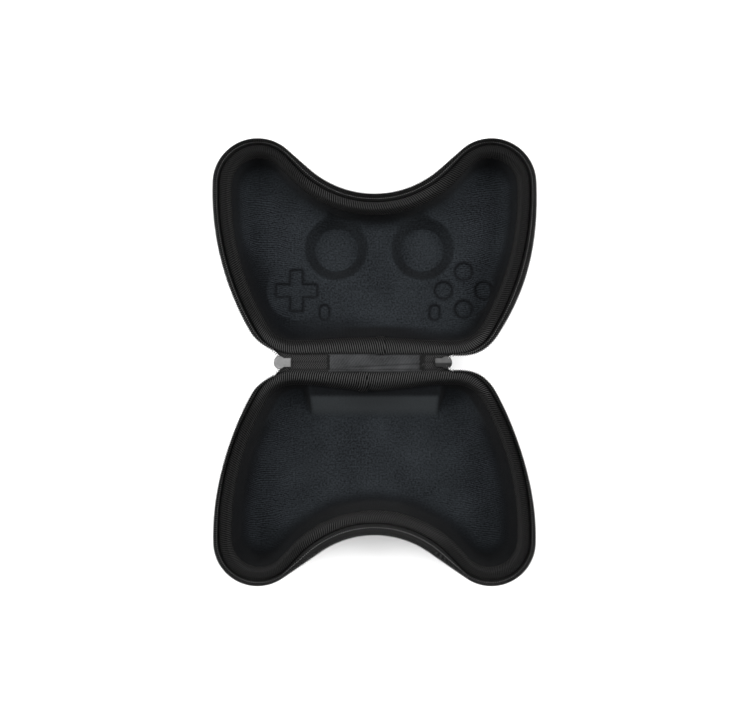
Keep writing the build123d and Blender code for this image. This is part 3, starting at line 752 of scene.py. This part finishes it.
def lining_shade(side, points, depth, upright):
    """How much painted shade and how much painted light the lining gets at each point, from 0 to 1."""
    # Painted shade on the sloping lining, darker the steeper it is; in the lid it begins on gentler slopes
    # than in the base
    steep = np.clip((0.97 - upright if side > 0 else 0.62 - upright) / 0.45, 0, 1)
    x, y = points.T
    if side > 0:
        # Painted shade lies along the foot of the wall, broad near the hinge, and round the pressed shapes
        near_hinge = smooth_share((78.0 - y) / 34.0)
        steep = steep * (0.4 + 0.6 * near_hinge)
        reach = 4.0 + (12.0 - 7.0 * np.tanh(x / 20.0)) * near_hinge
        wall_foot_shade = (1 - smooth_share((depth - 7.0) / reach)) * (0.72 + 0.28 * near_hinge)
        for cx, cy in BULGES:
            wall_foot_shade = wall_foot_shade * smooth_share(0.5 + (np.hypot(x - cx, y - cy) - 17.8) / 2.0)
        steep = np.maximum(steep, 0.8 * np.exp(-((pressed_gap(x, y) - 0.3) ** 2)))
        lit = np.zeros(len(points))
    else:
        # Painted shade along the foot of the wall away from the hinge; on the ramp a painted shadow under the
        # hinge and painted light below it
        wall_foot_shade = (1 - smooth_share((depth - 7.0) / 11.0)) * smooth_share((y - 30.0) / 12.0)
        ramp = smooth_share((RAMP_HALF_WIDTH - np.abs(x)) / 3.0)
        steep = np.maximum(steep, 0.6 * ramp * smooth_share((20.5 - y) / 2.0))
        lit = 0.5 * ramp * smooth_share((y - 19.0) / 2.5) * smooth_share((34.0 - y) / 7.0)
    steep = np.maximum(steep, 0.95 * wall_foot_shade)
    return steep, lit


def lining_mesh(name, side, insets, height_at, detail_at, grid, fine):
    """Lining over a whole half: rings down the wall, then a grid that is fine at the pressed edges."""
    count = int(RIM_LENGTH / 1.15)
    along = np.linspace(0, RIM_LENGTH, count, endpoint=False)
    outline, outward = rim(np.linspace(0, RIM_LENGTH, 1400, endpoint=False))
    ends = np.roll(outline, -1, 0)
    step = ends - outline

    def way_in(points):
        """Distance from the rim line, and the outward direction there."""
        depth, facing = np.zeros(len(points)), np.zeros((len(points), 2))
        for start in range(0, len(points), 2000):
            p = points[start : start + 2000, None, :]
            share = np.clip(((p - outline) * step).sum(2) / (step**2).sum(1), 0, 1)
            gap = np.hypot(*np.moveaxis(p - outline - share[..., None] * step, 2, 0))
            nearest = gap.argmin(1)
            depth[start : start + 2000] = gap.min(1)
            facing[start : start + 2000] = outward[nearest]
        return depth, facing

    points, depths, facings = [], [], []
    for inset in insets:
        ring, direction = rim(along, -inset)
        keep = np.ones(count, bool) if inset < insets[0] + 4.2 else detail_at(*ring.T) > 0.7
        points.append(ring[keep])
        depths.append(np.full(keep.sum(), inset))
        facings.append(direction[keep])
    low, high = points[0].min(0), points[0].max(0)
    for pitch, is_fine in ((grid, False), (fine, True)):
        xs, ys = np.arange(low[0], high[0], pitch), np.arange(low[1], high[1], pitch * 0.866)
        gx, gy = np.meshgrid(xs, ys)
        gx = gx + (np.arange(len(ys)) % 2)[:, None] * pitch / 2
        spots = np.stack([gx.ravel(), gy.ravel()], 1)
        near = detail_at(*spots.T)
        spots = spots[near < 1.1] if is_fine else spots[near > 1.1 + pitch * 0.4]
        depth, facing = way_in(spots)
        inside = inside_loop(spots, rim(along, -(insets[0] + 4.4 if is_fine else insets[-1] + 0.6))[0])
        points.append(spots[inside])
        depths.append(depth[inside])
        facings.append(facing[inside])
    points, depth, facing = np.concatenate(points), np.concatenate(depths), np.concatenate(facings)
    made = geometry.delaunay_2d_cdt([Vector(p) for p in points], [], [list(range(count))], 0, 1e-4, True)
    source = [ids[0] for ids in made[3]]
    points, depth, facing = points[source], depth[source], facing[source]
    faces = np.array(made[2])
    faces = faces[inside_loop(points[faces].mean(1), rim(along, -insets[0])[0])]
    z = height_at(points[:, 0], points[:, 1], depth)
    floor = LID_FLOOR_Z if side > 0 else BASE_FLOOR_Z
    climb = np.maximum(z - floor, 0)[:, None] * facing
    flat = points + climb
    body = np.stack([points[:, 0], points[:, 1], z], 1)
    corner_a, corner_b, corner_c = (body[faces[:, i]] for i in range(3))
    normals = np.zeros_like(body)
    face_normals = np.cross(corner_b - corner_a, corner_c - corner_a)
    for i in range(3):
        np.add.at(normals, faces[:, i], face_normals)
    upright = normals[:, 2] / np.maximum(np.linalg.norm(normals, axis=1), 1e-9)
    steep, lit = lining_shade(side, points, depth, upright)
    flat[:, 1] -= 0.16 * np.maximum(np.abs(flat[:, 0]) - 28.0, 0)
    body[:, 1] *= side
    return make_mesh(name, body, faces, uv=flat, flip=side < 0, values={"steep": steep, "lit": lit})


# ---------------------------------------------------------------- bands that follow the rim
def band(name, side, along, grow, front_grow, z, values=False):
    """Sheet along the rim; grow, front_grow and z have one row for each line of its section."""
    _, outward = rim(along)
    rings = []
    for row in range(len(z)):
        line, plain = grow[row], float(np.max(grow[row]))
        points, _ = rim(along, plain, float(np.max(front_grow[row])))
        points = points + outward * (line - plain)[:, None]
        rings.append(np.column_stack([points[:, 0], side * points[:, 1], z[row]]))
    middle = len(along) // 3
    steps = np.hypot(np.diff(grow[:, middle]), np.diff(z[:, middle]))
    across = np.concatenate([[0.0], np.cumsum(steps)])
    uv = np.stack(np.meshgrid(along, across), 2).reshape(-1, 2)
    faces, extra = grid_faces(len(z), len(along)), {}
    if values:
        from_middle = np.abs((uv[:, 0] + HALF_LENGTH) % RIM_LENGTH - HALF_LENGTH)
        hinge, front = smooth_share((86.0 - from_middle) / 30.0), smooth_share((from_middle - 222.0) / 24.0)
        sideways, upwards = np.gradient(grow, axis=0), np.gradient(z, axis=0)
        slope = 1 - (np.abs(sideways) / np.hypot(sideways, upwards)).ravel()
        inner_edge = np.repeat(np.exp(-(((np.arange(len(z)) - 18.0) / 2.0) ** 2)), len(along))
        # Painted sheen on the ribs: at the hinge lighter on the flat crest and darker on the steep parts;
        # elsewhere darker, but lighter on the steep parts, towards the front and along the inner edge
        plain = (0.4 + 0.4 * front) * (1 + 1.6 * slope) * (1 + 0.9 * inner_edge)
        bright = plain * (1 - hinge) + hinge * (1.25 - 0.8 * slope)
        extra = {"along": uv[:, 0] * MM, "across": uv[:, 1] * MM, "bright": bright}
    return make_mesh(name, np.concatenate(rings), faces, uv=uv, flip=side < 0, values=extra)


def smooth_section(section, steps):
    """More points on a smooth line through a section's points."""
    p = np.array([s if len(s) == 3 else (s[0], s[0], s[1]) for s in section], float)
    p = np.vstack([2 * p[0] - p[1], p, 2 * p[-1] - p[-2]])
    out = []
    for i in range(1, len(p) - 2):
        for t in np.arange(steps) / steps:
            a, b, c, d = p[i - 1 : i + 3]
            square, cube = 2 * a - 5 * b + 4 * c - d, 3 * b - a - 3 * c + d
            out.append(0.5 * ((2 * b) + (c - a) * t + square * t**2 + cube * t**3))
    out.append(p[-2])
    return [tuple(q) for q in out]


# Ways out and heights of the binding: at the hinge's middle, near its corners and at the sides
BINDING_AT = {
    "lid middle": [
        (-0.26, 27.8), (0.1, 29.6), (0.5, 31.1), (1.2, 31.75), (1.4, 32.35), (0.8, 33.0),
        (-0.7, 33.4), (-2.6, 33.55), (-4.4, 32.9), (-6.0, 31.3), (-7.4, 28.9), (-8.5, 26.2),
    ],
    "base middle": [
        (-0.26, 27.8), (0.1, 29.6), (0.4, 31.0), (0.45, 32.0), (-0.3, 32.8), (-1.8, 33.3),
        (-3.7, 33.5), (-5.6, 32.9), (-7.2, 31.5), (-8.6, 29.6), (-9.7, 27.9), (-10.3, 26.2),
    ],
    "corners": [
        (-0.26, 27.8), (0.1, 29.6), (0.5, 31.1), (1.1, 31.8), (1.3, 32.4), (0.9, 33.1),
        (0.2, 33.45), (-1.4, 33.25), (-3.4, 32.6), (-4.6, 30.9), (-5.7, 28.6), (-6.7, 26.2),
    ],
    "sides": [
        (-0.26, 27.8), (0.25, 29.6), (0.5, 31.0), (0.4, 32.1), (-0.3, 32.85), (-1.4, 33.1),
        (-2.5, 33.0), (-3.4, 32.6), (-4.0, 31.6), (-4.5, 30.0), (-5.0, 28.0), (-5.5, 26.0),
    ],
}
# Ways out, ways out at the front and heights of the tapes, from the sewn edge to the teeth
TAPE_FOOT = [(-0.3, 27.8), (0.5, 28.5), (1.0, 29.8), (1.4, 31.3)]
TAPE_AT = {
    1: [*TAPE_FOOT, (2.0, 2.3, 32.5), (2.8, 3.6, 34.0), (3.5, 4.7, 35.2)],
    -1: [*TAPE_FOOT, (1.9, 2.9, 32.5), (2.5, 4.9, 34.0), (3.1, 7.0, 35.2)],
}
RIM_START = {1: LID_SEAM_X, -1: BASE_SEAM_X}


def binding_lines(along, side):
    """Ways out and heights of the binding's lines: broad at the hinge, narrow at the sides."""
    from_middle = np.abs((along + HALF_LENGTH) % RIM_LENGTH - HALF_LENGTH)
    to_corner, to_side = smooth_share(from_middle / 44.0), smooth_share((from_middle - 48.0) / 30.0)
    names = ("lid middle" if side > 0 else "base middle", "corners", "sides")
    middle, corner, plain = (np.array(smooth_section(BINDING_AT[n], 2)) for n in names)
    lines = []
    for column in (0, 2):
        a, b, c = (section[:, column : column + 1] for section in (middle, corner, plain))
        lines.append((a * (1 - to_corner) + b * to_corner) * (1 - to_side) + c * to_side)
    grow, z = lines
    share = (1 - to_side)[None, :]
    # The tape wanders a little, most at its free lower edge inside
    drift = 0.22 * np.sin(along / 7.3) + 0.16 * np.sin(along / 3.1 + 1.0) + 0.12 * np.sin(along / 1.7 + 2.0)
    loose = np.clip((np.arange(len(z)) - 13) / 9.0, 0, 1)[:, None]
    grow = grow - loose * np.abs(drift) * 0.4 + 0.18 * np.sin(along / 23.0) * share
    z = z + loose * drift * 1.3
    # One end laps over the other at the seam
    start = RIM_START[side]
    lap = np.clip(1 - (start + RIM_LENGTH - 0.12 - along) / 5.0, 0, 1)
    step = np.minimum(lap * 10, 1.0) * 0.65
    lean = np.gradient(grow, axis=0), np.gradient(z, axis=0)
    size = np.hypot(*lean)
    return grow + step * lean[1] / size, z - step * lean[0] / size


def binding_tape(name, side):
    start = RIM_START[side]
    along = np.linspace(start - 0.9, start + RIM_LENGTH - 0.12, int(RIM_LENGTH / 0.26))
    grow, z = binding_lines(along, side)
    piece = band(name, side, along, grow, grow, z, values=True)
    finish = FINISHES["ribbed_binding"]
    run_tree(piece, RIBS, pitch=RIB_PITCH * MM, height=RIB_HEIGHT * MM, slant=RIB_SLANT, finish=finish)
    return bake(thicken(piece, TAPE_THICKNESS))


def rim_directions(along, side, grow, front_grow=None):
    points, outward = rim(along, grow, front_grow)
    return (
        np.column_stack([points[:, 0], side * points[:, 1]]),
        np.column_stack([outward[:, 0], side * outward[:, 1], np.zeros(len(along))]),
    )


def zip_droop(along):
    """How far the zipper has come down towards a slider, from 0 to 1."""
    gap = np.minimum(np.asarray(along) - ZIP_START, ZIP_END - np.asarray(along))
    return smooth_share(1 - gap / 16.0)


def tape_lean(along, side):
    """Further lean of the tape's edge, more on the lid's right side and less beside the base's corners."""
    low_right = smooth_share(1 - np.abs(along - 105.0) / 60.0)
    low_left = smooth_share(1 - np.abs(RIM_LENGTH - along - 105.0) / 60.0)
    return 1.5 * low_right if side > 0 else -1.3 * low_right - 0.9 * low_left


def tape_lines(along, side):
    """Ways out and heights of the zipper tape's lines; it comes down towards the sliders."""
    section = np.array(smooth_section(TAPE_AT[side], 2))
    top = np.linspace(0, 1, len(section))[:, None] ** 2
    droop = zip_droop(along)[None, :] * top
    lean = tape_lean(along, side)[None, :] * top
    return (
        section[:, :1] + lean - 1.6 * droop,
        section[:, 1:2] + lean - 1.6 * droop,
        section[:, 2:] - 2.0 * droop,
    )


def zip_end_along(target_x, grow):
    """Length along the rim at which its grown line reaches a place near the left slider."""
    along = np.linspace(RIM_LENGTH - 90, RIM_LENGTH, 3000)
    points, _ = rim(along, grow)
    return float(along[np.abs(points[:, 0] - target_x).argmin()])


ZIP_START, ZIP_END = RIGHT_SLIDER_X + 0.6, zip_end_along(LEFT_SLIDER_X - 0.6, 2.5)

HALF_TOOTH = [(0, -0.15), (1.0, -0.15), (1.35, -0.25), (1.75, -0.22)]
tooth = stacked_shape(
    "tooth",
    [*HALF_TOOTH, (1.9, 0), *((x, -y) for x, y in HALF_TOOTH[::-1])],
    [(-0.6, 0.72), (-0.38, 1.0), (0.38, 1.0), (0.6, 0.72)],
)
stitch = thread_shape("stitch", 2.7, 0.24)
short_thread = thread_shape("short_thread", 1.7, 0.2, bow=0.2)
loop = thread_shape("loop", 0.42, 0.22, sides=6, bow=0.15)


def zip_path(side, margin, grow, front_grow, share):
    """Points of a row on the open tape, their outward directions and how far they have come down."""
    along = np.linspace(ZIP_START + margin, ZIP_END - margin, 1200)
    points, outward = rim_directions(along, side, grow, front_grow)
    droop = zip_droop(along)
    lean = (tape_lean(along, side) - 1.6 * droop)[:, None]
    return points + outward[:, :2] * lean * share, outward, droop


def teeth_row(name, side):
    top = TAPE_AT[side][-1]
    points, outward, droop = zip_path(side, 0.3, top[0] - 1.1, top[1] - 1.1, 1.0)
    row = np.column_stack([points, 35.45 - 2.0 * droop])
    lean = outward + UP * 0.35
    upward = np.cross(np.cross(outward, UP), lean)
    upward *= np.sign(upward[:, 2:3])
    return row_of(name, tooth, row, lean, upward, TOOTH_PITCH, "zipper_coil", 3 + side, 0.05)


def loop_row(name, side):
    """The coil's inner loops, which show as a row of dots half-way down the tape."""
    section = 0.85 * np.array(TAPE_AT[side][4]) + 0.15 * np.array(TAPE_AT[side][5])
    points, outward, droop = zip_path(side, 0.9, section[0], section[1], 0.4)
    row = np.column_stack([points, section[2] + 0.15 - 0.8 * droop])
    facing, upward = outward * 0.9 + UP * 0.8, UP * 0.9 - outward * 0.8
    return row_of(name, loop, row, facing, upward, TOOTH_PITCH, "zipper_coil", 31 + side, 0.12)


def stitch_row(name, side, start, end, grow, z, outside, seed):
    along = np.linspace(start, end, 900)
    points, outward = rim_directions(along, side, grow)
    facing = outward if outside else -outward
    row = np.column_stack([points, np.full(len(along), z)])
    return row_of(name, stitch, row, facing, UP, STITCH_PITCH, "thread", seed, 0.06)


HALVES = {1: "lid", -1: "base"}
for side, half in HALVES.items():
    lid = side > 0
    lining = lining_mesh(
        f"{half}_knitted_lining",
        side,
        LID_RINGS if lid else BASE_RINGS,
        lid_height if lid else base_height,
        lid_detail if lid else base_detail,
        1.0 if lid else 1.4,
        0.36 if lid else 0.7,
    )
    lining.data.materials.append(FINISHES["knitted_lining"])
    bake(thicken(lining, LINING_THICKNESS))
    dress(lining, half, f"{half}_lining")

    binding = binding_tape(f"{half}_ribbed_binding", side)
    dress(binding, half, f"{half}_binding")

    along = np.linspace(ZIP_START, ZIP_END, int(RIM_LENGTH / 0.9))
    tape = band(f"{half}_woven_tape", side, along, *tape_lines(along, side))
    tape.data.materials.append(FINISHES["zipper_tape"])
    bake(thicken(tape, TAPE_THICKNESS, 1.0))
    dress(tape, half, f"{half}_zipper_tape")

    dress(teeth_row(f"{half}_teeth", side), half, f"{half}_coil")
    dress(loop_row(f"{half}_coil_loops", side), half)
    inner = stitch_row(f"{half}_binding_stitches", side, 62, RIM_LENGTH - 62, -5.75, 26.1, False, 11)
    outer = stitch_row(f"{half}_hem_stitches", side, ZIP_START + 1, ZIP_END - 1, 1.3, 29.6, True, 12)
    for row in (inner, outer):
        dress(row, half)

    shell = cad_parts[f"{half}_shell"]
    shell.data.materials.clear()
    shell.data.materials.append(FINISHES["shell_cloth"])


# ---------------------------------------------------------------- hinge
STRIP_EDGE_Y = 4.4
FLAP_FOOT = (6.05, 29.0)


def smooth_mesh(name, gx, gy, z, finish, flip=False):
    """Sheet through a grid of points, whose pattern keeps to X and the length across."""
    points = np.stack([gx, gy, z], 2).reshape(-1, 3)
    steps = np.hypot(np.diff(gy, axis=0), np.diff(z, axis=0))
    across = np.concatenate([np.zeros((1, gx.shape[1])), np.cumsum(steps, 0)])
    uv = np.stack([gx, across * np.sign(gy[-1, 0] - gy[0, 0]) + gy[0, 0]], 2).reshape(-1, 2)
    piece = make_mesh(name, points, grid_faces(*gx.shape), uv=uv, flip=flip)
    piece.data.materials.append(FINISHES[finish])
    return bake(thicken(piece, STRIP_THICKNESS))


def hinge_strip(name, left_x, right_x, columns, rows, height_at, finish):
    """Middle of the hinge between the two fold lines."""
    ys = np.linspace(-STRIP_EDGE_Y, STRIP_EDGE_Y, rows)
    gx, gy = np.meshgrid(np.linspace(left_x, right_x, columns), ys)
    return smooth_mesh(name, gx, gy, height_at(gx, gy), finish)


def hinge_flap(name, side, left_x, right_x, columns, height_at, finish):
    """Margin of the strip that turns down beside a binding, where it is sewn to the wall."""
    turn = np.linspace(0, math.pi / 2, 7)
    gx, q = np.meshgrid(np.linspace(left_x, right_x, columns), turn)
    start_z = height_at(gx, np.full_like(gx, side * STRIP_EDGE_Y))
    gy = side * (STRIP_EDGE_Y + (FLAP_FOOT[0] - STRIP_EDGE_Y) * np.sin(q))
    z = FLAP_FOOT[1] + (start_z - FLAP_FOOT[1]) * np.cos(q)
    flap = smooth_mesh(name, gx, gy, z, finish, flip=side < 0)
    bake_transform(flap)
    return flap


def edge_dip(y):
    """How far a sheet has turned down towards the fold line."""
    return 0.75 * np.clip((np.abs(y) - 2.9) / 1.5, 0, 1) ** 2


def cloth_height(x, y):
    """The twill sags a little between the bindings, with shallow waves and one crease."""
    loose = 1 - np.clip((np.abs(y) - 3.0) / 1.4, 0, 1)
    waves = 0.2 * np.sin(x / 4.1 + 0.5 * np.sin(y / 2.0)) + 0.16 * np.sin(x / 9.0 + y / 3.0 + 1.0)
    crease = 0.9 * np.exp(-(((y + 2.2 - (x - 6) * 0.05) / 0.6) ** 2)) * np.clip((x + 22) / 12, 0, 1)
    return FOLD_Z + 0.3 + (waves * 0.6 - crease) * loose - edge_dip(y)


def tape_height(x, y):
    """Two woven tapes side by side, raised over the coil below them, with the gap in the middle."""
    ridge = 0.14 * np.exp(-(((np.abs(y) - 1.1) / 0.7) ** 2))
    gap = 0.5 * np.exp(-((y / 0.25) ** 2))
    return FOLD_Z + 0.28 + ridge - gap - edge_dip(y)


ends = (CLOTH_LEFT_X, CLOTH_RIGHT_X)
cloth = hinge_strip("hinge_twill_cloth", *ends, 170, 34, cloth_height, "hinge_twill")
dress(cloth, "spine", "hinge_cloth")
cloth_flaps = [
    hinge_flap(f"hinge_twill_flap_{half}", side, *ends, 170, cloth_height, "hinge_twill")
    for side, half in HALVES.items()
]

LEFT_TAIL_X, RIGHT_TAIL_X = LEFT_SLIDER_X + 10.1, RIGHT_SLIDER_X - 10.1
for label, left_x, right_x in (
    ("left", LEFT_TAIL_X - 1.0, CLOTH_LEFT_X),
    ("right", CLOTH_RIGHT_X, RIGHT_TAIL_X + 1.0),
):
    ends = (left_x, right_x)
    tape = hinge_strip(f"closed_woven_tape_{label}", *ends, 60, 60, tape_height, "zipper_tape")
    dress(tape, "spine", f"closed_tape_{label}")
    for side, half in HALVES.items():
        hinge_flap(f"closed_tape_{label}_flap_{half}", side, *ends, 60, tape_height, "zipper_tape")

    rows = []
    for sign in (-1, 1):
        xs = np.linspace(left_x + 0.3 + (0.6 if sign > 0 else 0), right_x - 0.3, 40)
        points = np.column_stack([xs, np.full(40, sign * 1.35), np.full(40, 31.1)])
        facing = (0, -sign, 0), UP
        rows.append(row_of(f"closed_row_{sign}", tooth, points, *facing, TOOTH_PITCH, "zipper_coil", 5))
    dress(join(f"closed_teeth_{label}", rows), "spine", f"closed_coil_{label}")

for label, places in (("left", (CLOTH_LEFT_X,)), ("right", (CLOTH_RIGHT_X - 0.5, CLOTH_RIGHT_X + 1.1))):
    rows = []
    for k, x in enumerate(places):
        ys = np.linspace(-4.1, 4.1, 40)
        points = np.column_stack([x + 0.12 * np.sin(ys * 2.1 + k), ys, cloth_height(x, ys) + 0.16])
        facing = UP, (0, 1.0, 0)
        name = f"tack_row_{k}"
        rows.append(row_of(name, short_thread, points, *facing, TACK_PITCH, "thread", 7 + k, 0.12))
    dress(join(f"tack_threads_{label}", rows), "spine", f"tack_{label}")


# ---------------------------------------------------------------- zipper ends that bend into the sliders
def curve_between(a, b, pull_a, pull_b, shares):
    """Points of a smooth curve from a to b that leaves along pull_a and arrives along pull_b."""
    a, b, pull_a, pull_b = (np.array(v, float) for v in (a, b, pull_a, pull_b))
    t = np.asarray(shares)[:, None]
    p, q = a + pull_a, b - pull_b
    return (1 - t) ** 3 * a + 3 * (1 - t) ** 2 * t * p + 3 * (1 - t) * t**2 * q + t**3 * b


def half_strip_point(side, share):
    """Point of the strip's cross-section from the wall (0) round the fold to the chain (1)."""
    turn = min(share / 0.45, 1.0)
    angle = (1 - turn) * math.pi / 2
    edge_z = float(tape_height(0.0, STRIP_EDGE_Y))
    y = STRIP_EDGE_Y + (FLAP_FOOT[0] - STRIP_EDGE_Y) * math.sin(angle)
    z = FLAP_FOOT[1] + (edge_z - FLAP_FOOT[1]) * math.cos(angle)
    if share > 0.45:
        y = STRIP_EDGE_Y - (STRIP_EDGE_Y - 0.4) * (share - 0.45) / 0.55
        z = min(float(tape_height(0.0, y)), FOLD_Z + 0.3)
    return side * y, z


def zip_end(label, side, start_along, direction, tail_x):
    """Tape and teeth that bend from a half's zipper down into a slider."""
    stations, shares = np.linspace(0, 1, 16), np.linspace(0, 1, 11)
    start = np.array([start_along])
    grow, front_grow, z = tape_lines(start, side)
    _, outward = rim(start)
    tangent = np.array([outward[0, 1], -outward[0, 0]])
    tangent *= direction * np.sign(tangent[0])
    lines = []
    for share in shares:
        at = share * (len(z) - 1)
        g, f, height = (np.interp(at, np.arange(len(z)), column[:, 0]) for column in (grow, front_grow, z))
        p, _ = rim(start, g, f)
        end_y, end_z = half_strip_point(side, share)
        a, b = (p[0, 0], side * p[0, 1], height), (tail_x, end_y, end_z)
        leave = np.array([tangent[0], side * tangent[1], -0.25 * share]) * 3.2
        lines.append(curve_between(a, b, leave, (direction * 4.0, 0, 0), stations))
    uv = np.stack(np.meshgrid(stations * 11, shares * 7), 2).reshape(-1, 2)
    flip = side * direction > 0
    piece = make_mesh(f"zip_end_{label}", np.concatenate(lines), grid_faces(11, 16), uv=uv, flip=flip)
    piece.data.materials.append(FINISHES["zipper_tape"])
    bake(thicken(piece, 0.35, 0.0))

    edge = lines[-1]
    ahead = np.gradient(edge, axis=0)
    ahead /= np.linalg.norm(ahead, axis=1)[:, None]
    away = edge - lines[-3]
    away -= (away * ahead).sum(1)[:, None] * ahead
    upward = np.cross(ahead, away)
    upward *= np.sign(upward[:, 2:3])
    toothed = [line[:8] for line in (edge - 0.1 * away, away, upward)]
    row = row_of(f"zip_end_teeth_{label}", tooth, *toothed, TOOTH_PITCH, "zipper_coil", 9)
    for made, slot in ((piece, "zipper_tape"), (row, "zipper_coil")):
        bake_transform(made)


for side, half in HALVES.items():
    zip_end(f"left_{half}", side, ZIP_END, 1, LEFT_TAIL_X - 1.0)
    zip_end(f"right_{half}", side, ZIP_START, -1, RIGHT_TAIL_X + 1.0)


# ---------------------------------------------------------------- metal
for name in ("slider_left", "slider_right", "pull_left", "pull_right"):
    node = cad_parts[name]
    node.data.materials.clear()
    node.data.materials.append(FINISHES["slider_metal"])

for source in (tooth, loop, stitch, short_thread):
    bpy.data.objects.remove(source)

# ---------------------------------------------------------------- table, light and camera
scene = bpy.context.scene
table = make_mesh(
    "table", [(-3000, -3000, 0), (3000, -3000, 0), (3000, 3000, 0), (-3000, 3000, 0)], [(0, 1, 2, 3)]
)
table_paint, tree, shader, place, _ = new_finish("table_paint", {"Roughness": 0.6})
paint_grain = noise(tree, place, 3.0, 2.0)
tree.links.new(
    mix_colour(tree, paint_grain, (0.93, 0.93, 0.93, 1), (0.95, 0.95, 0.95, 1)), shader.inputs["Base Color"]
)
table.data.materials.append(table_paint)


def soft_light(name, place, size, power):
    """Square light that points at the middle of the case."""
    light = bpy.data.lights.new(name, "AREA")
    light.shape, light.size, light.energy = "SQUARE", size, power
    lamp = new_object(name, light)
    lamp.location = place
    lamp.rotation_euler = (Vector((0, 0, 0.02)) - Vector(place)).to_track_quat("-Z", "Y").to_euler()


soft_light("left", (-1.1, 0.35, 1.0), 0.7, 24.0)
soft_light("right", (1.1, 0.35, 1.0), 0.7, 24.0)
soft_light("ceiling", (0.0, 0.2, 1.8), 1.5, 26.0)
scene.world = bpy.data.worlds.new("room")
scene.world.use_nodes = True
room = scene.world.node_tree.nodes["Background"]
room.inputs["Color"].default_value = (1.0, 1.0, 1.0, 1.0)
room.inputs["Strength"].default_value = 0.35
scene.view_settings.view_transform = "Standard"

camera_data = bpy.data.cameras.new("camera")
camera_data.sensor_width, camera_data.lens = 36.0, CAMERA_LENS
camera_data.shift_x = CAMERA_SHIFT
scene.camera = new_object("camera", camera_data)
scene.camera.location = (0.0, 0.0, CAMERA_HEIGHT)

bpy.context.view_layer.update()
